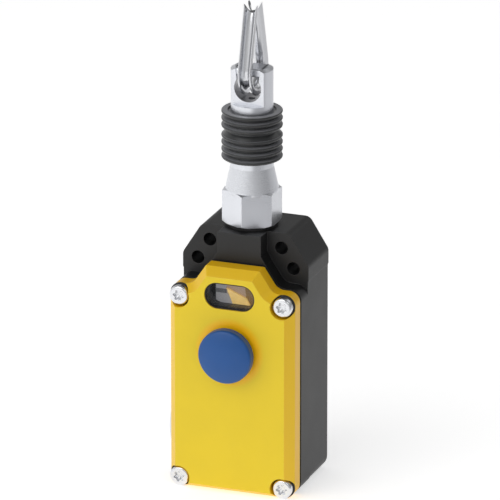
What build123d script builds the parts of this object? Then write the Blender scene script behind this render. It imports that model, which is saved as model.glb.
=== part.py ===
from build123d import *
import os
from math import asin, atan2, cos, degrees, hypot, radians, sin, sqrt, tan

# Rope pull switch. Lengths in millimetres. +Z is the direction of the pull, -Y is the cover side.
# Everything is modelled about the pull axis, with Z = 0 at the underside of the housing, and is then
# moved once to the row frame, whose origin lies at the lower mounting holes on the rear face.

# Mounting
rear_to_axis = 16.5
lower_hole_spacing = 40.0
lower_holes_below_hood_top = 2.5
upper_hole_spacing = 30.0
upper_holes_above_lower = 8.0
mounting_hole_radius = 2.65

# Housing
body_half_width = 26.05
head_overhang = 0.3
head_above_upper_holes = 6.2
head_step_below_top = 19.1
shoulder_drop = 12.6
shoulder_half_width = 18.4
shoulder_radius = 3.5
hole_plane_y = -7.3
joint_y = -14.7
corner_screw_inset = 4.45
side_wall = 4.0
floor_wall = 4.0
rear_wall = 4.0
cavity_below_ear = 7.35
channel_half_width = 11.5
channel_top_gap = 1.5
boss_half_width = 9.1
boss_slope_drop = 8.1
base_corner_radius = 5.0
rear_recess_depth = 0.8
rear_recess_margin = 6.0
rear_recess_below_ear = 4.85
rear_recess_radius = 3.0
rear_edge_radius = 0.8
cavity_radius = 2.0

# Cover and its joint
gasket_thickness = 1.3
gasket_inset = 0.35
cover_side_depth = 5.7
bevel_depth = 4.0
bevel_width = 3.15
bevel_width_below = 2.4
cover_wall = 2.8
hood_above_window = 10.8
hood_half_width = 11.2
hood_foot_half_width = 16.9
hood_foot_radius = 5.0
hood_corner_radius = 0.8
ear_below_hood_top = 8.55
cover_outline_least_radius = 0.3
cover_column_wall = 0.6
cover_wall_extra = 0.4

# Cover screws
screw_radius = 2.0
screw_head_radius = 4.0
screw_head_height = 3.1
screw_length = 14.0
screw_pocket_clearance = 0.65
screw_head_setback = 0.6
screw_head_round = 0.7
washer_radius = 4.5
washer_thickness = 0.5
socket_radius = 1.35
socket_lobe_reach = 1.5
socket_lobe_radius = 0.45
socket_depth = 1.8

# Window and indicator
window_length = 21.0
window_height = 10.8
window_above_button = 23.1
lens_setback = 0.4
lens_flange = 1.6
lens_flange_thickness = 1.2
lens_wall = 2.0
lens_pane = 1.5
lens_seal_thickness = 0.8
bezel_thickness = 2.3
bezel_margin = 1.9
bezel_lip = 0.3
dial_gap = 1.8
dial_thickness = 0.8
dial_half_width = 11.0
dial_below_window = 11.6
dial_above_window = 6.6
dial_corner = 4.0
bezel_ear_x = 13.6
bezel_ear_below_window = 7.6
bezel_ear_root = 6.0
bezel_ear_radius = 2.6
bezel_screw_radius = 1.0
bezel_screw_head_height = 1.2
bezel_screw_slot = 0.5
pointer_pivot_x = 4.6
pointer_pivot_below_window = 7.7
pointer_reach = 12.0
pointer_angle = 135.0
pointer_wing_share = 0.42
pointer_wing_angle = 42.0
pointer_tail_angle = 125.0
pointer_thickness = 1.0
pointer_tail = 2.2
pointer_shaft_radius = 1.0
crank_radius = 8.0
crank_thickness = 1.0
crank_gap = 0.4
crank_width = 3.0
crank_pin_radius = 0.75
crank_pin_tail = 0.3

# Reset button
button_above_latch_ring = 12.0
button_radius = 11.05
button_gap = 2.1
button_band = 3.8
button_dome = 2.3
button_edge_radius = 0.9
button_recess_radius = 9.0
button_recess_depth = 2.6
button_post_wall = 1.6
button_stem_depth = 0.6
button_travel = 1.8
stem_radius = 3.0
stem_tip_radius = 1.2
stem_tip_length = 2.0
guide_radius = 6.0
guide_flange_radius = 7.6
guide_flange_thickness = 0.8
guide_length = 8.2
reset_seal_thickness = 0.5
reset_nut_flats = 17.0
reset_nut_thickness = 3.0
reset_spring_radius = 6.2
reset_spring_wire = 0.7
reset_spring_turns = 2.0
clip_radius = 4.8
clip_thickness = 0.8
groove_depth = 0.5

# Latch
bracket_thickness = 1.0
bracket_half_width = 9.0
bracket_below_button = 15.0
bracket_above_button = 8.5
cheek_inner_x = 5.0
cheek_thickness = 1.2
cheek_half_height = 3.2
latch_pivot_y = -10.5
latch_pivot_above_ring = 5.0
latch_pin_radius = 1.0
latch_half_width = 4.6
latch_thickness = 2.0
latch_top_length = 9.0
latch_tail_length = 6.5
latch_tooth_height = 2.0
latch_spring_radius = 1.8
latch_spring_wire = 0.5
latch_spring_turns = 7.0
latch_hub_share = 0.85
latch_pin_lip = 0.6
latch_pin_end = 0.8
bracket_corner_radius = 1.5

# Neck
neck_flats = 20.8
neck_seal_thickness = 1.2
hex_height = 13.8
hex_chamfer = 1.2
cone_bottom_radius = 10.6
cone_top_radius = 8.6
cone_height = 9.4
neck_tube_height = 4.5
stub_radius = 8.9
stub_length = 14.3
neck_bore_radius = 5.0
bush_radius = 6.0
bush_length = 8.0
rod_seal_rise = 6.7
rod_seal_height = 3.0
neck_seal_radius = 10.2

# Pull rod and what it carries
rod_radius = 4.0
rod_below_guide = 6.5
rod_travel = 8.0
rod_thread_length = 11.0
rod_end_chamfer = 0.6
lock_nut_flats = 13.0
lock_nut_height = 5.0
spring_seat_thickness = 1.5
spring_seat_radius = 8.5
main_spring_radius = 6.6
main_spring_wire = 1.8
main_spring_turns = 5.0
collar_radius = 8.0
collar_thickness = 2.5
collar_chamfer = 0.5
link_ring_above_button = 4.5
link_ring_height = 3.0
link_ring_radius = 6.5
link_strip_thickness = 1.0
link_strip_half_width = 3.3
link_strip_gap = 1.3
link_leg_height = 1.4
link_slot_edge = 1.5
link_slot_clearance = 0.35
spacer_radius = 5.6
latch_ring_radius = 7.2
latch_ring_height = 3.0
cam_height = 13.5
cam_top_radius = 5.0
plunger_travel = 1.5
plunger_below_ring = 3.5
plunger_above_block_bottom = 11.0
plunger_tip_gap = 0.32
circlip_radius = 6.0
cam_above_guide = 10.0
lower_guide_thickness = 3.0
lower_guide_half_width = 9.0
lower_guide_leg = 13.0
lower_guide_front = 7.0
lower_guide_radius = 4.0
guide_screw_x = 5.4

# Contact blocks
block_inner_x = 9.6
block_wall_gap = 0.45
block_above_entry = 1.0
block_height = 24.0
block_front_y = -9.0
block_rib = 1.2
block_rib_depth = 3.4
terminal_row = 7.5
terminal_head_height = 2.0
terminal_screw_radius = 1.2
terminal_screw_length = 6.0
clamp_size = 3.6
clamp_thickness = 1.0
plunger_radius = 1.5
plunger_grip = 2.2
plunger_end_gap = 0.45
block_screw_radius = 1.5
block_screw_head_radius = 2.75
block_screw_head_height = 2.0
wall_thread_depth = 2.6
pan_slot = 0.7
block_rib_gap = 4.5
block_corner_radius = 0.8
earth_washer_inset = 0.3
earth_wall_gap = 1.05
earth_z = 14.0
earth_boss_radius = 4.0
earth_boss_depth = 8.0

# Rope eye
eye_radius = 8.4
eye_flat_y = 5.05
eye_height = 31.0
eye_flat_height = 14.9
eye_chamfer_height = 1.0
eye_chamfer_width = 1.75
eye_hole_radius = 5.55
eye_hole_below_top = 8.0
eye_bar_thickness = 3.5
eye_bar_half_depth = 4.6
eye_edge_radius = 0.7
eye_bar_radius = 1.3
eye_drain_radius = 1.4
eye_bore_extra = 0.2
eye_bar_root = 0.5

# Thimble
thimble_y = 1.1
thimble_above_hole = 6.2
thimble_inner_radius = 6.2
thimble_web = 1.0
thimble_depth = 4.1
thimble_half_width = 2.75
thimble_sheet = 0.9
thimble_reach = 25.7
thimble_tip_inner_radius = 0.3
thimble_tip_radius = 3.8
thimble_groove_rise = 25.5
thimble_slit = 0.4

# Bellows
bellows_crest_radius = 12.1
bellows_valley_radius = 10.4
bellows_pitch = 2.85
bellows_step = 4.2
bellows_above_cone = 3.9
bellows_lower_folds = 4
bellows_upper_folds = 3
bellows_crest_round = 1.2
bellows_inner_radius = 9.2
bellows_collar = 1.6

# Entries
entry_radius = 9.25
entry_boss_radius = 12.0
entry_boss_depth = 9.0
side_entry_z = 20.0
plug_head_radius = 12.8
plug_head_thickness = 3.4
plug_seal_thickness = 1.0
plug_shank_length = 8.0
plug_socket_flats = 10.0
plug_socket_depth = 2.4
plug_head_round = 1.2
plug_seal_inset = 0.4

# Clearances
fit = 0.05
gap = 0.3
slip = 0.15
clip_fit = 0.02
clip_mouth_lip = 0.2
spring_end_gap = 0.05

# Heights, each standing on the one below it
block_bottom = side_entry_z + entry_boss_radius + block_above_entry
plunger_z = block_bottom + plunger_above_block_bottom
latch_ring_bottom = plunger_z + plunger_below_ring
cam_bottom = latch_ring_bottom - cam_height
lower_guide_bottom = cam_bottom - cam_above_guide
rod_bottom = lower_guide_bottom - rod_below_guide
latch_pivot_z = latch_ring_bottom + latch_pivot_above_ring
button_z = latch_ring_bottom + button_above_latch_ring
bracket_bottom = button_z - bracket_below_button
bracket_top = button_z + bracket_above_button
window_z = button_z + window_above_button
dial_bottom = window_z - dial_below_window
dial_top = window_z + dial_above_window
bezel_ear_z = window_z - bezel_ear_below_window
pointer_pivot_z = window_z - pointer_pivot_below_window
hood_top = window_z + hood_above_window
ear_height = hood_top - ear_below_hood_top
cavity_top = ear_height - cavity_below_ear
rear_recess_top = ear_height - rear_recess_below_ear
lower_hole_height = hood_top - lower_holes_below_hood_top
upper_hole_height = lower_hole_height + upper_holes_above_lower
head_height = upper_hole_height + head_above_upper_holes
head_step_height = head_height - head_step_below_top
shoulder_height = head_height - shoulder_drop
boss_slope_height = head_height - boss_slope_drop
hex_bottom = head_height + neck_seal_thickness
hex_top = hex_bottom + hex_height
cone_top = hex_top + cone_height
neck_top = cone_top + neck_tube_height
stub_bottom = hex_bottom - stub_length
channel_top = stub_bottom - channel_top_gap
rod_seal_z = hex_bottom + rod_seal_rise
bellows_first_z = cone_top + bellows_above_cone
lock_nut_bottom = neck_top + gap
eye_bottom = lock_nut_bottom + lock_nut_height
rod_top = eye_bottom + rod_thread_length
eye_top = eye_bottom + eye_height
eye_flat_bottom = eye_top - eye_flat_height
eye_hole_z = eye_top - eye_hole_below_top
eye_bar_underside = eye_top - eye_bar_thickness
thimble_z = eye_hole_z + thimble_above_hole
thimble_groove_top = thimble_z + thimble_groove_rise

# Planes and places that follow from the sizes above
rear_y = rear_to_axis
inner_rear_y = rear_y - rear_wall
cover_rear_y = joint_y - gasket_thickness
cover_edge_y = cover_rear_y - cover_side_depth
cover_front_y = cover_edge_y - bevel_depth
cover_inner_y = cover_front_y + cover_wall
screw_x = body_half_width - corner_screw_inset
lower_screw_z = corner_screw_inset
upper_screw_z = ear_height - corner_screw_inset
screw_seat_y = cover_front_y + screw_head_setback + screw_head_height + washer_thickness
cavity_half_width = body_half_width - side_wall
lens_flange_front_y = cover_inner_y + lens_seal_thickness
bezel_front_y = lens_flange_front_y + lens_flange_thickness
bezel_rear_y = bezel_front_y + bezel_thickness
dial_front_y = bezel_rear_y + dial_gap
dial_rear_y = dial_front_y + dial_thickness
pointer_front_y = bezel_rear_y + (dial_gap - pointer_thickness) / 2
crank_front_y = dial_rear_y + crank_gap
crank_rear_y = crank_front_y + crank_thickness
button_rear_y = cover_front_y - button_gap
button_rim_y = button_rear_y - button_band
recess_floor_y = button_rear_y - button_recess_depth
stem_front_y = recess_floor_y - button_stem_depth
guide_flange_front_y = cover_front_y - reset_seal_thickness - guide_flange_thickness
guide_rear_y = cover_front_y + guide_length
button_post_rear_y = guide_flange_front_y - button_travel - gap
clip_front_y = guide_rear_y + gap
bracket_rear_y = cover_inner_y + bracket_thickness
latch_front_y = latch_pivot_y - latch_thickness / 2
latch_rear_y = latch_pivot_y + latch_thickness / 2
stem_rear_y = latch_front_y - gap
spring_top = stub_bottom - spring_seat_thickness
link_ring_bottom = button_z + link_ring_above_button
collar_bottom = link_ring_bottom + link_ring_height
spring_bottom = collar_bottom + collar_thickness
crank_mid_z = pointer_pivot_z
slot_z = crank_mid_z - rod_travel / 2
crank_rest_angle = 180.0 + degrees(rod_travel / 2 / crank_radius)
strip_rear_y = crank_rear_y + link_strip_gap + link_strip_thickness
strip_front_y = strip_rear_y - link_strip_thickness
latch_ring_top = latch_ring_bottom + latch_ring_height
cam_slope = plunger_travel / rod_travel
cam_radius_at_plunger = cam_top_radius + cam_slope * (latch_ring_bottom - plunger_z)
plunger_tip_x = cam_radius_at_plunger + plunger_tip_gap
block_outer_x = cavity_half_width - block_wall_gap
block_width = block_outer_x - block_inner_x
block_x = (block_inner_x + block_outer_x) / 2
terminal_column = (block_width + block_rib) / 4
terminal_head_radius = clamp_size / 2
plunger_end_x = block_inner_x + plunger_grip
earth_x = cavity_half_width - earth_boss_radius - earth_wall_gap
block_z = block_bottom + block_height / 2
plug_seal_x = -body_half_width
plug_head_x = plug_seal_x - plug_seal_thickness


# Helpers for plain shapes
def block(x, y, z):
    """Box between two limits on each axis."""
    centre = Pos((x[0] + x[1]) / 2, (y[0] + y[1]) / 2, (z[0] + z[1]) / 2)
    return centre * Box(x[1] - x[0], y[1] - y[0], z[1] - z[0])


def round_x(radius, left, right, y, z):
    return Pos((left + right) / 2, y, z) * Rot(0, 90, 0) * Cylinder(radius, right - left)


def round_y(radius, front, rear, x, z):
    return Pos(x, (front + rear) / 2, z) * Rot(90, 0, 0) * Cylinder(radius, rear - front)


def round_z(radius, bottom, top, x=0.0, y=0.0):
    return Pos(x, y, (bottom + top) / 2) * Cylinder(radius, top - bottom)


def turned(points):
    """Solid turned about the pull axis from points of radius and height."""
    profile = make_face(Polyline(*[(r, 0, z) for r, z in points], close=True))
    return revolve(profile, Axis.Z)


def slab(sketch, front, rear):
    """Extrude a sketch of (x, z) between two Y planes."""
    plane = Plane((0, rear, 0), x_dir=(1, 0, 0), z_dir=(0, -1, 0))
    return extrude(plane * sketch, amount=rear - front)


def side_slab(sketch, left, right):
    """Extrude a sketch of (y, z) between two X planes."""
    plane = Plane((left, 0, 0), x_dir=(0, 1, 0), z_dir=(1, 0, 0))
    return extrude(plane * sketch, amount=right - left)


def hexagon_z(flats, bottom, top):
    """Hexagonal prism about the pull axis with corners on the Y axis."""
    shape = RegularPolygon(flats / 2, 6, major_radius=False, rotation=30)
    return Pos(0, 0, bottom) * extrude(shape, amount=top - bottom)


def coil(radius, wire, length, turns):
    """Round-wire spring along +Z from the origin, with its ends cut flat."""
    rise = length - wire
    path = Helix(pitch=rise / turns, height=rise, radius=radius)
    section = Plane(path @ 0, z_dir=path % 0) * Circle(wire / 2)
    return Pos(0, 0, wire / 2) * sweep(section, path)


def rounded_outline(points, radii):
    """Closed face through corner points, each rounded by its own radius."""
    count = len(points)
    edges = []
    starts = []
    ends = []
    for index in range(count):
        corner = Vector(*points[index])
        before = (Vector(*points[index - 1]) - corner).normalized()
        after = (Vector(*points[(index + 1) % count]) - corner).normalized()
        half_turn = radians(180.0 - before.get_angle(after)) / 2
        reach = radii[index] * tan(half_turn)
        first = corner + before * reach
        last = corner + after * reach
        starts.append(first)
        ends.append(last)
        if radii[index] > 0:
            inward = (before + after).normalized()
            middle = corner + inward * (radii[index] / cos(half_turn) - radii[index])
            edges.append(ThreePointArc(first, middle, last))
    for index in range(count):
        edges.append(Line(ends[index], starts[(index + 1) % count]))
    return make_face(edges)


def turn_side(before, corner, after):
    """Positive where the outline turns left at the corner."""
    ax, az = corner[0] - before[0], corner[1] - before[1]
    bx, bz = after[0] - corner[0], after[1] - corner[1]
    return ax * bz - az * bx


def inset_corners(points, insets):
    """Corners moved inwards, each edge by its own amount, for points in anticlockwise order."""
    count = len(points)
    moved = []
    for index in range(count):
        lines = []
        for start in (index - 1, index):
            x, z = points[start]
            nx, nz = points[(start + 1) % count]
            length = hypot(nx - x, nz - z)
            normal = (-(nz - z) / length, (nx - x) / length)
            offset = normal[0] * x + normal[1] * z + insets[start]
            lines.append((normal[0], normal[1], offset))
        (a, b, e), (c, d, f) = lines
        scale = a * d - b * c
        moved.append(((e * d - b * f) / scale, (a * f - e * c) / scale))
    return moved


def cover_shape(side=0.0, top=0.0, below=0.0):
    """Front outline of the cover, moved inwards by a margin for its sides, hood and lower edge."""
    right = [
        (body_half_width, 0.0),
        (body_half_width, ear_height),
        (hood_foot_half_width, ear_height),
        (hood_half_width, hood_top),
    ]
    left = [(-x, z) for x, z in reversed(right)]
    points = right + left
    insets = [side, top, top, top, top, top, side, below]
    radii = [corner_screw_inset, corner_screw_inset, hood_foot_radius, hood_corner_radius]
    radii = radii + list(reversed(radii))
    moved = inset_corners(points, insets)
    sized = []
    for index, radius in enumerate(radii):
        outward = turn_side(points[index - 1], points[index], points[(index + 1) % len(points)]) > 0
        change = -max(side, top) if outward else max(side, top)
        sized.append(max(radius + change, cover_outline_least_radius))
    return rounded_outline(moved, sized)


def screw_places():
    return [(sign * screw_x, z) for sign in (-1, 1) for z in (lower_screw_z, upper_screw_z)]


# Housing and cover
def head_shape():
    """Rear outline of the housing: straight sides, sloping shoulders and a flat top."""
    width = body_half_width + head_overhang
    points = [
        (body_half_width, 0.0),
        (body_half_width, head_step_height),
        (width, head_step_height + head_overhang),
        (width, shoulder_height),
        (shoulder_half_width, head_height),
    ]
    radii = [base_corner_radius, 0.0, 0.0, shoulder_radius, shoulder_radius]
    points = points + [(-x, z) for x, z in reversed(points)]
    return rounded_outline(points, radii + list(reversed(radii)))


def boss_shape():
    """Central boss above the hood, in front of the mounting holes."""
    points = [
        (hood_half_width, hood_top - corner_screw_inset),
        (hood_half_width, hood_top),
        (boss_half_width, boss_slope_height),
        (boss_half_width, head_height),
    ]
    points = points + [(-x, z) for x, z in reversed(points)]
    return make_face(Polyline(*points, close=True))


def make_cavity(front_y=joint_y):
    """Inside of the housing, open at the front."""
    width = (-cavity_half_width, cavity_half_width)
    depth = (front_y - 1, inner_rear_y)
    main = block(width, depth, (floor_wall, cavity_top))
    main = fillet(main.edges().filter_by(Axis.Y), cavity_radius)
    channel_x = (-channel_half_width, channel_half_width)
    return main + block(channel_x, depth, (cavity_top - 5, channel_top))


def make_housing():
    body = slab(head_shape(), hole_plane_y, rear_y)
    body += slab(cover_shape(), joint_y, hole_plane_y + 4)
    body += slab(boss_shape(), joint_y, hole_plane_y + 4)
    rim = body.edges().group_by(Axis.Y)[-1]
    body = fillet(rim, rear_edge_radius)
    body -= make_cavity()
    # Columns for the cover screws and bosses for the entries and the earth screw
    boss_rear = screw_seat_y + screw_length + 2
    for x, z in screw_places():
        body += round_y(corner_screw_inset, joint_y, boss_rear, x, z) & slab(
            cover_shape(), joint_y, boss_rear
        )
    body += round_z(entry_boss_radius, floor_wall / 2, entry_boss_depth) & block(
        (-cavity_half_width, cavity_half_width), (joint_y, inner_rear_y + 1), (0, head_height)
    )
    boss_right = -body_half_width + plug_shank_length
    body += round_x(entry_boss_radius, -body_half_width + 1, boss_right, 0, side_entry_z)
    earth_front = inner_rear_y - earth_boss_depth
    body += round_y(earth_boss_radius, earth_front, inner_rear_y + 1, earth_x, earth_z)
    # Openings
    body -= round_z(entry_radius, -1, entry_boss_depth + 1)
    body -= round_x(entry_radius, -body_half_width - 1, boss_right + 1, 0, side_entry_z)
    body -= round_z(stub_radius + fit, channel_top - 1, head_height + 1)
    for spacing, z in ((lower_hole_spacing, lower_hole_height), (upper_hole_spacing, upper_hole_height)):
        for sign in (-1, 1):
            body -= round_y(mounting_hole_radius, joint_y, rear_y + 1, sign * spacing / 2, z)
    for x, z in screw_places():
        body -= round_y(screw_radius + fit, joint_y - 1, screw_seat_y + screw_length + 0.5, x, z)
    thread_end = inner_rear_y + wall_thread_depth
    for sign in (-1, 1):
        body -= round_y(block_screw_radius + fit, inner_rear_y - 1, thread_end, sign * block_x, block_z)
        z = lower_guide_bottom - lower_guide_leg / 2
        body -= round_y(block_screw_radius + fit, inner_rear_y - 1, thread_end, sign * guide_screw_x, z)
    body -= round_y(block_screw_radius + fit, earth_front - 1, inner_rear_y + 1, earth_x, earth_z)
    # Shallow panel sunk in the rear face
    width = body_half_width - rear_recess_margin
    panel = block(
        (-width, width), (rear_y - rear_recess_depth, rear_y + 1), (rear_recess_margin, rear_recess_top)
    )
    return body - fillet(panel.edges().filter_by(Axis.Y), rear_recess_radius)


def make_gasket():
    ring = slab(cover_shape(gasket_inset, gasket_inset, gasket_inset), cover_rear_y, joint_y)
    ring -= make_cavity(cover_rear_y)
    for x, z in screw_places():
        ring -= round_y(screw_radius + gap, cover_rear_y - 1, joint_y + 1, x, z)
    return ring


def stadium(length, height):
    return Pos(0, window_z) * SlotOverall(length, height)


def make_cover():
    shell = slab(cover_shape(), cover_edge_y, cover_rear_y)
    plane = Plane((0, 0, 0), x_dir=(1, 0, 0), z_dir=(0, -1, 0))
    wide = plane.offset(-cover_edge_y) * cover_shape()
    narrow = plane.offset(-cover_front_y) * cover_shape(bevel_width, bevel_width, bevel_width_below)
    shell += loft([wide.faces()[0], narrow.faces()[0]], ruled=True)
    wall = cover_wall + cover_wall_extra
    hollow = slab(cover_shape(wall, wall, wall), cover_inner_y, cover_rear_y + 1)
    shell -= hollow
    column_radius = corner_screw_inset + cover_column_wall
    for x, z in screw_places():
        column = round_y(column_radius, screw_seat_y, cover_rear_y, x, z)
        shell += column & slab(cover_shape(), screw_seat_y, cover_rear_y)
        pocket = round_y(screw_head_radius + screw_pocket_clearance, cover_front_y - 1, screw_seat_y, x, z)
        shell -= pocket
        shell -= round_y(screw_radius + gap, screw_seat_y - 1, cover_rear_y + 1, x, z)
    for sign in (-1, 1):
        post = round_y(bezel_ear_radius, cover_inner_y - 0.5, bezel_front_y, sign * bezel_ear_x, bezel_ear_z)
        hole = round_y(
            bezel_screw_radius + fit, cover_inner_y + 0.5, bezel_front_y + 1, sign * bezel_ear_x, bezel_ear_z
        )
        shell = shell + post - hole
    shell -= slab(stadium(window_length, window_height), cover_front_y - 1, cover_inner_y + 1)
    shell -= round_y(guide_radius + fit, cover_front_y - 1, cover_inner_y + 1, 0, button_z)
    return shell


def make_cover_screws():
    screws = []
    head_front = cover_front_y + screw_head_setback
    head_rear = head_front + screw_head_height
    for x, z in screw_places():
        head = round_y(screw_head_radius, head_front, head_rear, x, z)
        head = fillet(head.edges().group_by(Axis.Y)[0], screw_head_round)
        socket = round_y(socket_radius, head_front - 1, head_front + socket_depth, x, z)
        for lobe in range(6):
            angle = radians(60 * lobe)
            lobe_x = x + socket_lobe_reach * cos(angle)
            lobe_z = z + socket_lobe_reach * sin(angle)
            socket += round_y(socket_lobe_radius, head_front - 1, head_front + socket_depth, lobe_x, lobe_z)
        shank = round_y(screw_radius, head_rear, screw_seat_y + screw_length, x, z)
        screws.append(head - socket + shank)
    return Compound(children=screws)


def make_screw_washers():
    washers = []
    for x, z in screw_places():
        ring = round_y(washer_radius, screw_seat_y - washer_thickness, screw_seat_y, x, z)
        washers.append(ring - round_y(screw_radius + slip, screw_seat_y - 2, screw_seat_y + 1, x, z))
    return Compound(children=washers)


# Window and indicator
def make_window_lens():
    front = cover_front_y + lens_setback
    pane = slab(stadium(window_length - 2 * slip, window_height - 2 * slip), front, bezel_front_y)
    flange_shape = stadium(window_length + 2 * lens_flange, window_height + 2 * lens_flange)
    flange = slab(flange_shape, lens_flange_front_y, bezel_front_y)
    hollow_shape = stadium(window_length - 2 * lens_wall, window_height - 2 * lens_wall)
    hollow = slab(hollow_shape, front + lens_pane, bezel_front_y + 1)
    return pane + flange - hollow


def make_window_seal():
    length = window_length + 2 * lens_flange
    ring = slab(stadium(length, window_height + 2 * lens_flange), cover_inner_y, lens_flange_front_y)
    return ring - slab(stadium(window_length, window_height), cover_inner_y - 1, lens_flange_front_y + 1)


def bezel_ears(front, rear, hole_radius):
    ears = None
    for sign in (-1, 1):
        x = sign * bezel_ear_x
        inner_x = sign * bezel_ear_root
        low_x, high_x = sorted((x, inner_x))
        ear_z = (bezel_ear_z - bezel_ear_radius, bezel_ear_z + bezel_ear_radius)
        ear = block((low_x, high_x), (front, rear), ear_z)
        ear += round_y(bezel_ear_radius, front, rear, x, bezel_ear_z)
        ear -= round_y(hole_radius, front - 1, rear + 1, x, bezel_ear_z)
        ears = ear if ears is None else ears + ear
    return ears


def make_window_bezel():
    length = window_length + 2 * bezel_margin
    frame = slab(stadium(length, window_height + 2 * bezel_margin), bezel_front_y, bezel_rear_y)
    frame += bezel_ears(bezel_front_y, bezel_rear_y, bezel_screw_radius + slip)
    inner = stadium(window_length - 2 * bezel_lip, window_height - 2 * bezel_lip)
    return frame - slab(inner, bezel_front_y - 1, bezel_rear_y + 1)


def make_indicator_dial():
    plate = block((-dial_half_width, dial_half_width), (dial_front_y, dial_rear_y), (dial_bottom, dial_top))
    top = plate.edges().filter_by(Axis.Y).group_by(Axis.Z)[-1]
    plate = chamfer(top, dial_corner)
    plate += bezel_ears(dial_front_y, dial_rear_y, bezel_screw_radius + slip)
    for sign in (-1, 1):
        x = sign * bezel_ear_x
        post = round_y(bezel_ear_radius, bezel_rear_y, dial_front_y + 0.5, x, bezel_ear_z)
        plate += post - round_y(bezel_screw_radius + slip, bezel_rear_y - 1, dial_rear_y, x, bezel_ear_z)
    return plate - round_y(
        pointer_shaft_radius + fit, dial_front_y - 1, dial_rear_y + 1, pointer_pivot_x, pointer_pivot_z
    )


def make_bezel_screws():
    screws = []
    for sign in (-1, 1):
        x = sign * bezel_ear_x
        shank = round_y(bezel_screw_radius, cover_inner_y + 1, dial_rear_y, x, bezel_ear_z)
        head_rear = dial_rear_y + bezel_screw_head_height
        head = round_y(2 * bezel_screw_radius, dial_rear_y, head_rear, x, bezel_ear_z)
        reach = 3 * bezel_screw_radius
        slot_z = (bezel_ear_z - bezel_screw_slot / 2, bezel_ear_z + bezel_screw_slot / 2)
        slot_y = (head_rear - bezel_screw_head_height / 2, head_rear + 1)
        slot = block((x - reach, x + reach), slot_y, slot_z)
        screws.append(shank + head - slot)
    return Compound(children=screws)


def pivot_place(radius, angle):
    """Point at a radius and angle about the pointer's pivot."""
    x = pointer_pivot_x + radius * cos(radians(angle))
    return x, pointer_pivot_z + radius * sin(radians(angle))


def make_indicator_pointer():
    tip = pivot_place(pointer_reach, pointer_angle)
    wing_reach = pointer_reach * pointer_wing_share
    wings = [pivot_place(wing_reach, pointer_angle + sign * pointer_wing_angle) for sign in (-1, 1)]
    tails = [pivot_place(pointer_tail, pointer_angle + sign * pointer_tail_angle) for sign in (-1, 1)]
    shape = make_face(Polyline(tip, wings[0], tails[0], tails[1], wings[1], close=True))
    rear = pointer_front_y + pointer_thickness
    pointer = slab(shape, pointer_front_y, rear)
    shaft_end = crank_rear_y
    pointer += round_y(pointer_shaft_radius, rear - 0.5, shaft_end, pointer_pivot_x, pointer_pivot_z)
    pin_x, pin_z = pivot_place(crank_radius, crank_rest_angle)
    arm = Pos((pointer_pivot_x + pin_x) / 2, (pointer_pivot_z + pin_z) / 2)
    turn = degrees(atan2(pin_z - pointer_pivot_z, pin_x - pointer_pivot_x))
    arm_shape = arm * Rot(0, 0, turn) * SlotCenterToCenter(crank_radius, crank_width)
    pointer += slab(arm_shape, crank_front_y, crank_rear_y)
    pin_rear_y = strip_rear_y + crank_pin_tail
    return pointer + round_y(crank_pin_radius, crank_front_y, pin_rear_y, pin_x, pin_z)


def make_indicator_link():
    ring_top = link_ring_bottom + link_ring_height
    ring = round_z(link_ring_radius, link_ring_bottom, ring_top)
    mid_x, _ = pivot_place(crank_radius, 180)
    end_x, _ = pivot_place(crank_radius, crank_rest_angle)
    centre_x = (mid_x + end_x) / 2
    strip_x = (centre_x - link_strip_half_width, centre_x + link_strip_half_width)
    slot_half = crank_pin_radius + link_slot_clearance
    top = slot_z + slot_half + link_slot_edge
    leg_top = link_ring_bottom + link_leg_height
    ring += block(strip_x, (strip_front_y, -rod_radius), (link_ring_bottom, leg_top))
    ring += block(strip_x, (strip_front_y, strip_rear_y), (link_ring_bottom, top))
    slot_reach = (end_x - mid_x) / 2 + crank_pin_radius + link_slot_clearance
    slot_x = (centre_x - slot_reach, centre_x + slot_reach)
    ring -= block(slot_x, (strip_front_y - 1, strip_rear_y + 1), (slot_z - slot_half, slot_z + slot_half))
    return ring - round_z(rod_radius + fit, link_ring_bottom - 1, ring_top + 1)


# Reset button
def make_reset_cap():
    """Domed cap with a rounded rim and a hollow for its spring."""
    band = round_y(button_radius, button_rim_y, button_rear_y, 0, button_z)
    ball_radius = (button_radius**2 + button_dome**2) / (2 * button_dome)
    centre_y = button_rim_y - button_dome + ball_radius
    ball = Pos(0, centre_y, button_z) * Sphere(ball_radius)
    limit = round_y(button_radius, button_rim_y - button_dome - 1, button_rim_y, 0, button_z)
    cap = band + (ball & limit)
    rim = [edge for edge in cap.edges() if abs(edge.center().Y - button_rim_y) < 0.01]
    cap = fillet(rim, button_edge_radius)
    hollow = round_y(button_recess_radius, recess_floor_y, button_rear_y + 1, 0, button_z)
    hollow -= round_y(stem_radius + button_post_wall, recess_floor_y - 1, button_post_rear_y, 0, button_z)
    cap -= hollow
    return cap - round_y(stem_radius + fit, stem_front_y, button_rear_y + 1, 0, button_z)


def make_reset_stem():
    shoulder = stem_rear_y - stem_tip_length
    stem = round_y(stem_radius, stem_front_y, shoulder, 0, button_z)
    stem += round_y(stem_tip_radius, shoulder, stem_rear_y, 0, button_z)
    groove = round_y(stem_radius + 1, clip_front_y, clip_front_y + clip_thickness, 0, button_z)
    groove -= round_y(stem_radius - groove_depth, clip_front_y - 1, clip_front_y + 2, 0, button_z)
    return stem - groove


def make_reset_clip():
    clip_rear_y = clip_front_y + clip_thickness
    ring = round_y(clip_radius, clip_front_y, clip_rear_y, 0, button_z)
    ring -= round_y(stem_radius - groove_depth + clip_fit, clip_front_y - 1, clip_rear_y + 1, 0, button_z)
    mouth = stem_radius - groove_depth - clip_mouth_lip
    mouth_z = (button_z - clip_radius - 1, button_z)
    return ring - block((-mouth, mouth), (clip_front_y - 1, clip_rear_y + 1), mouth_z)


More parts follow.
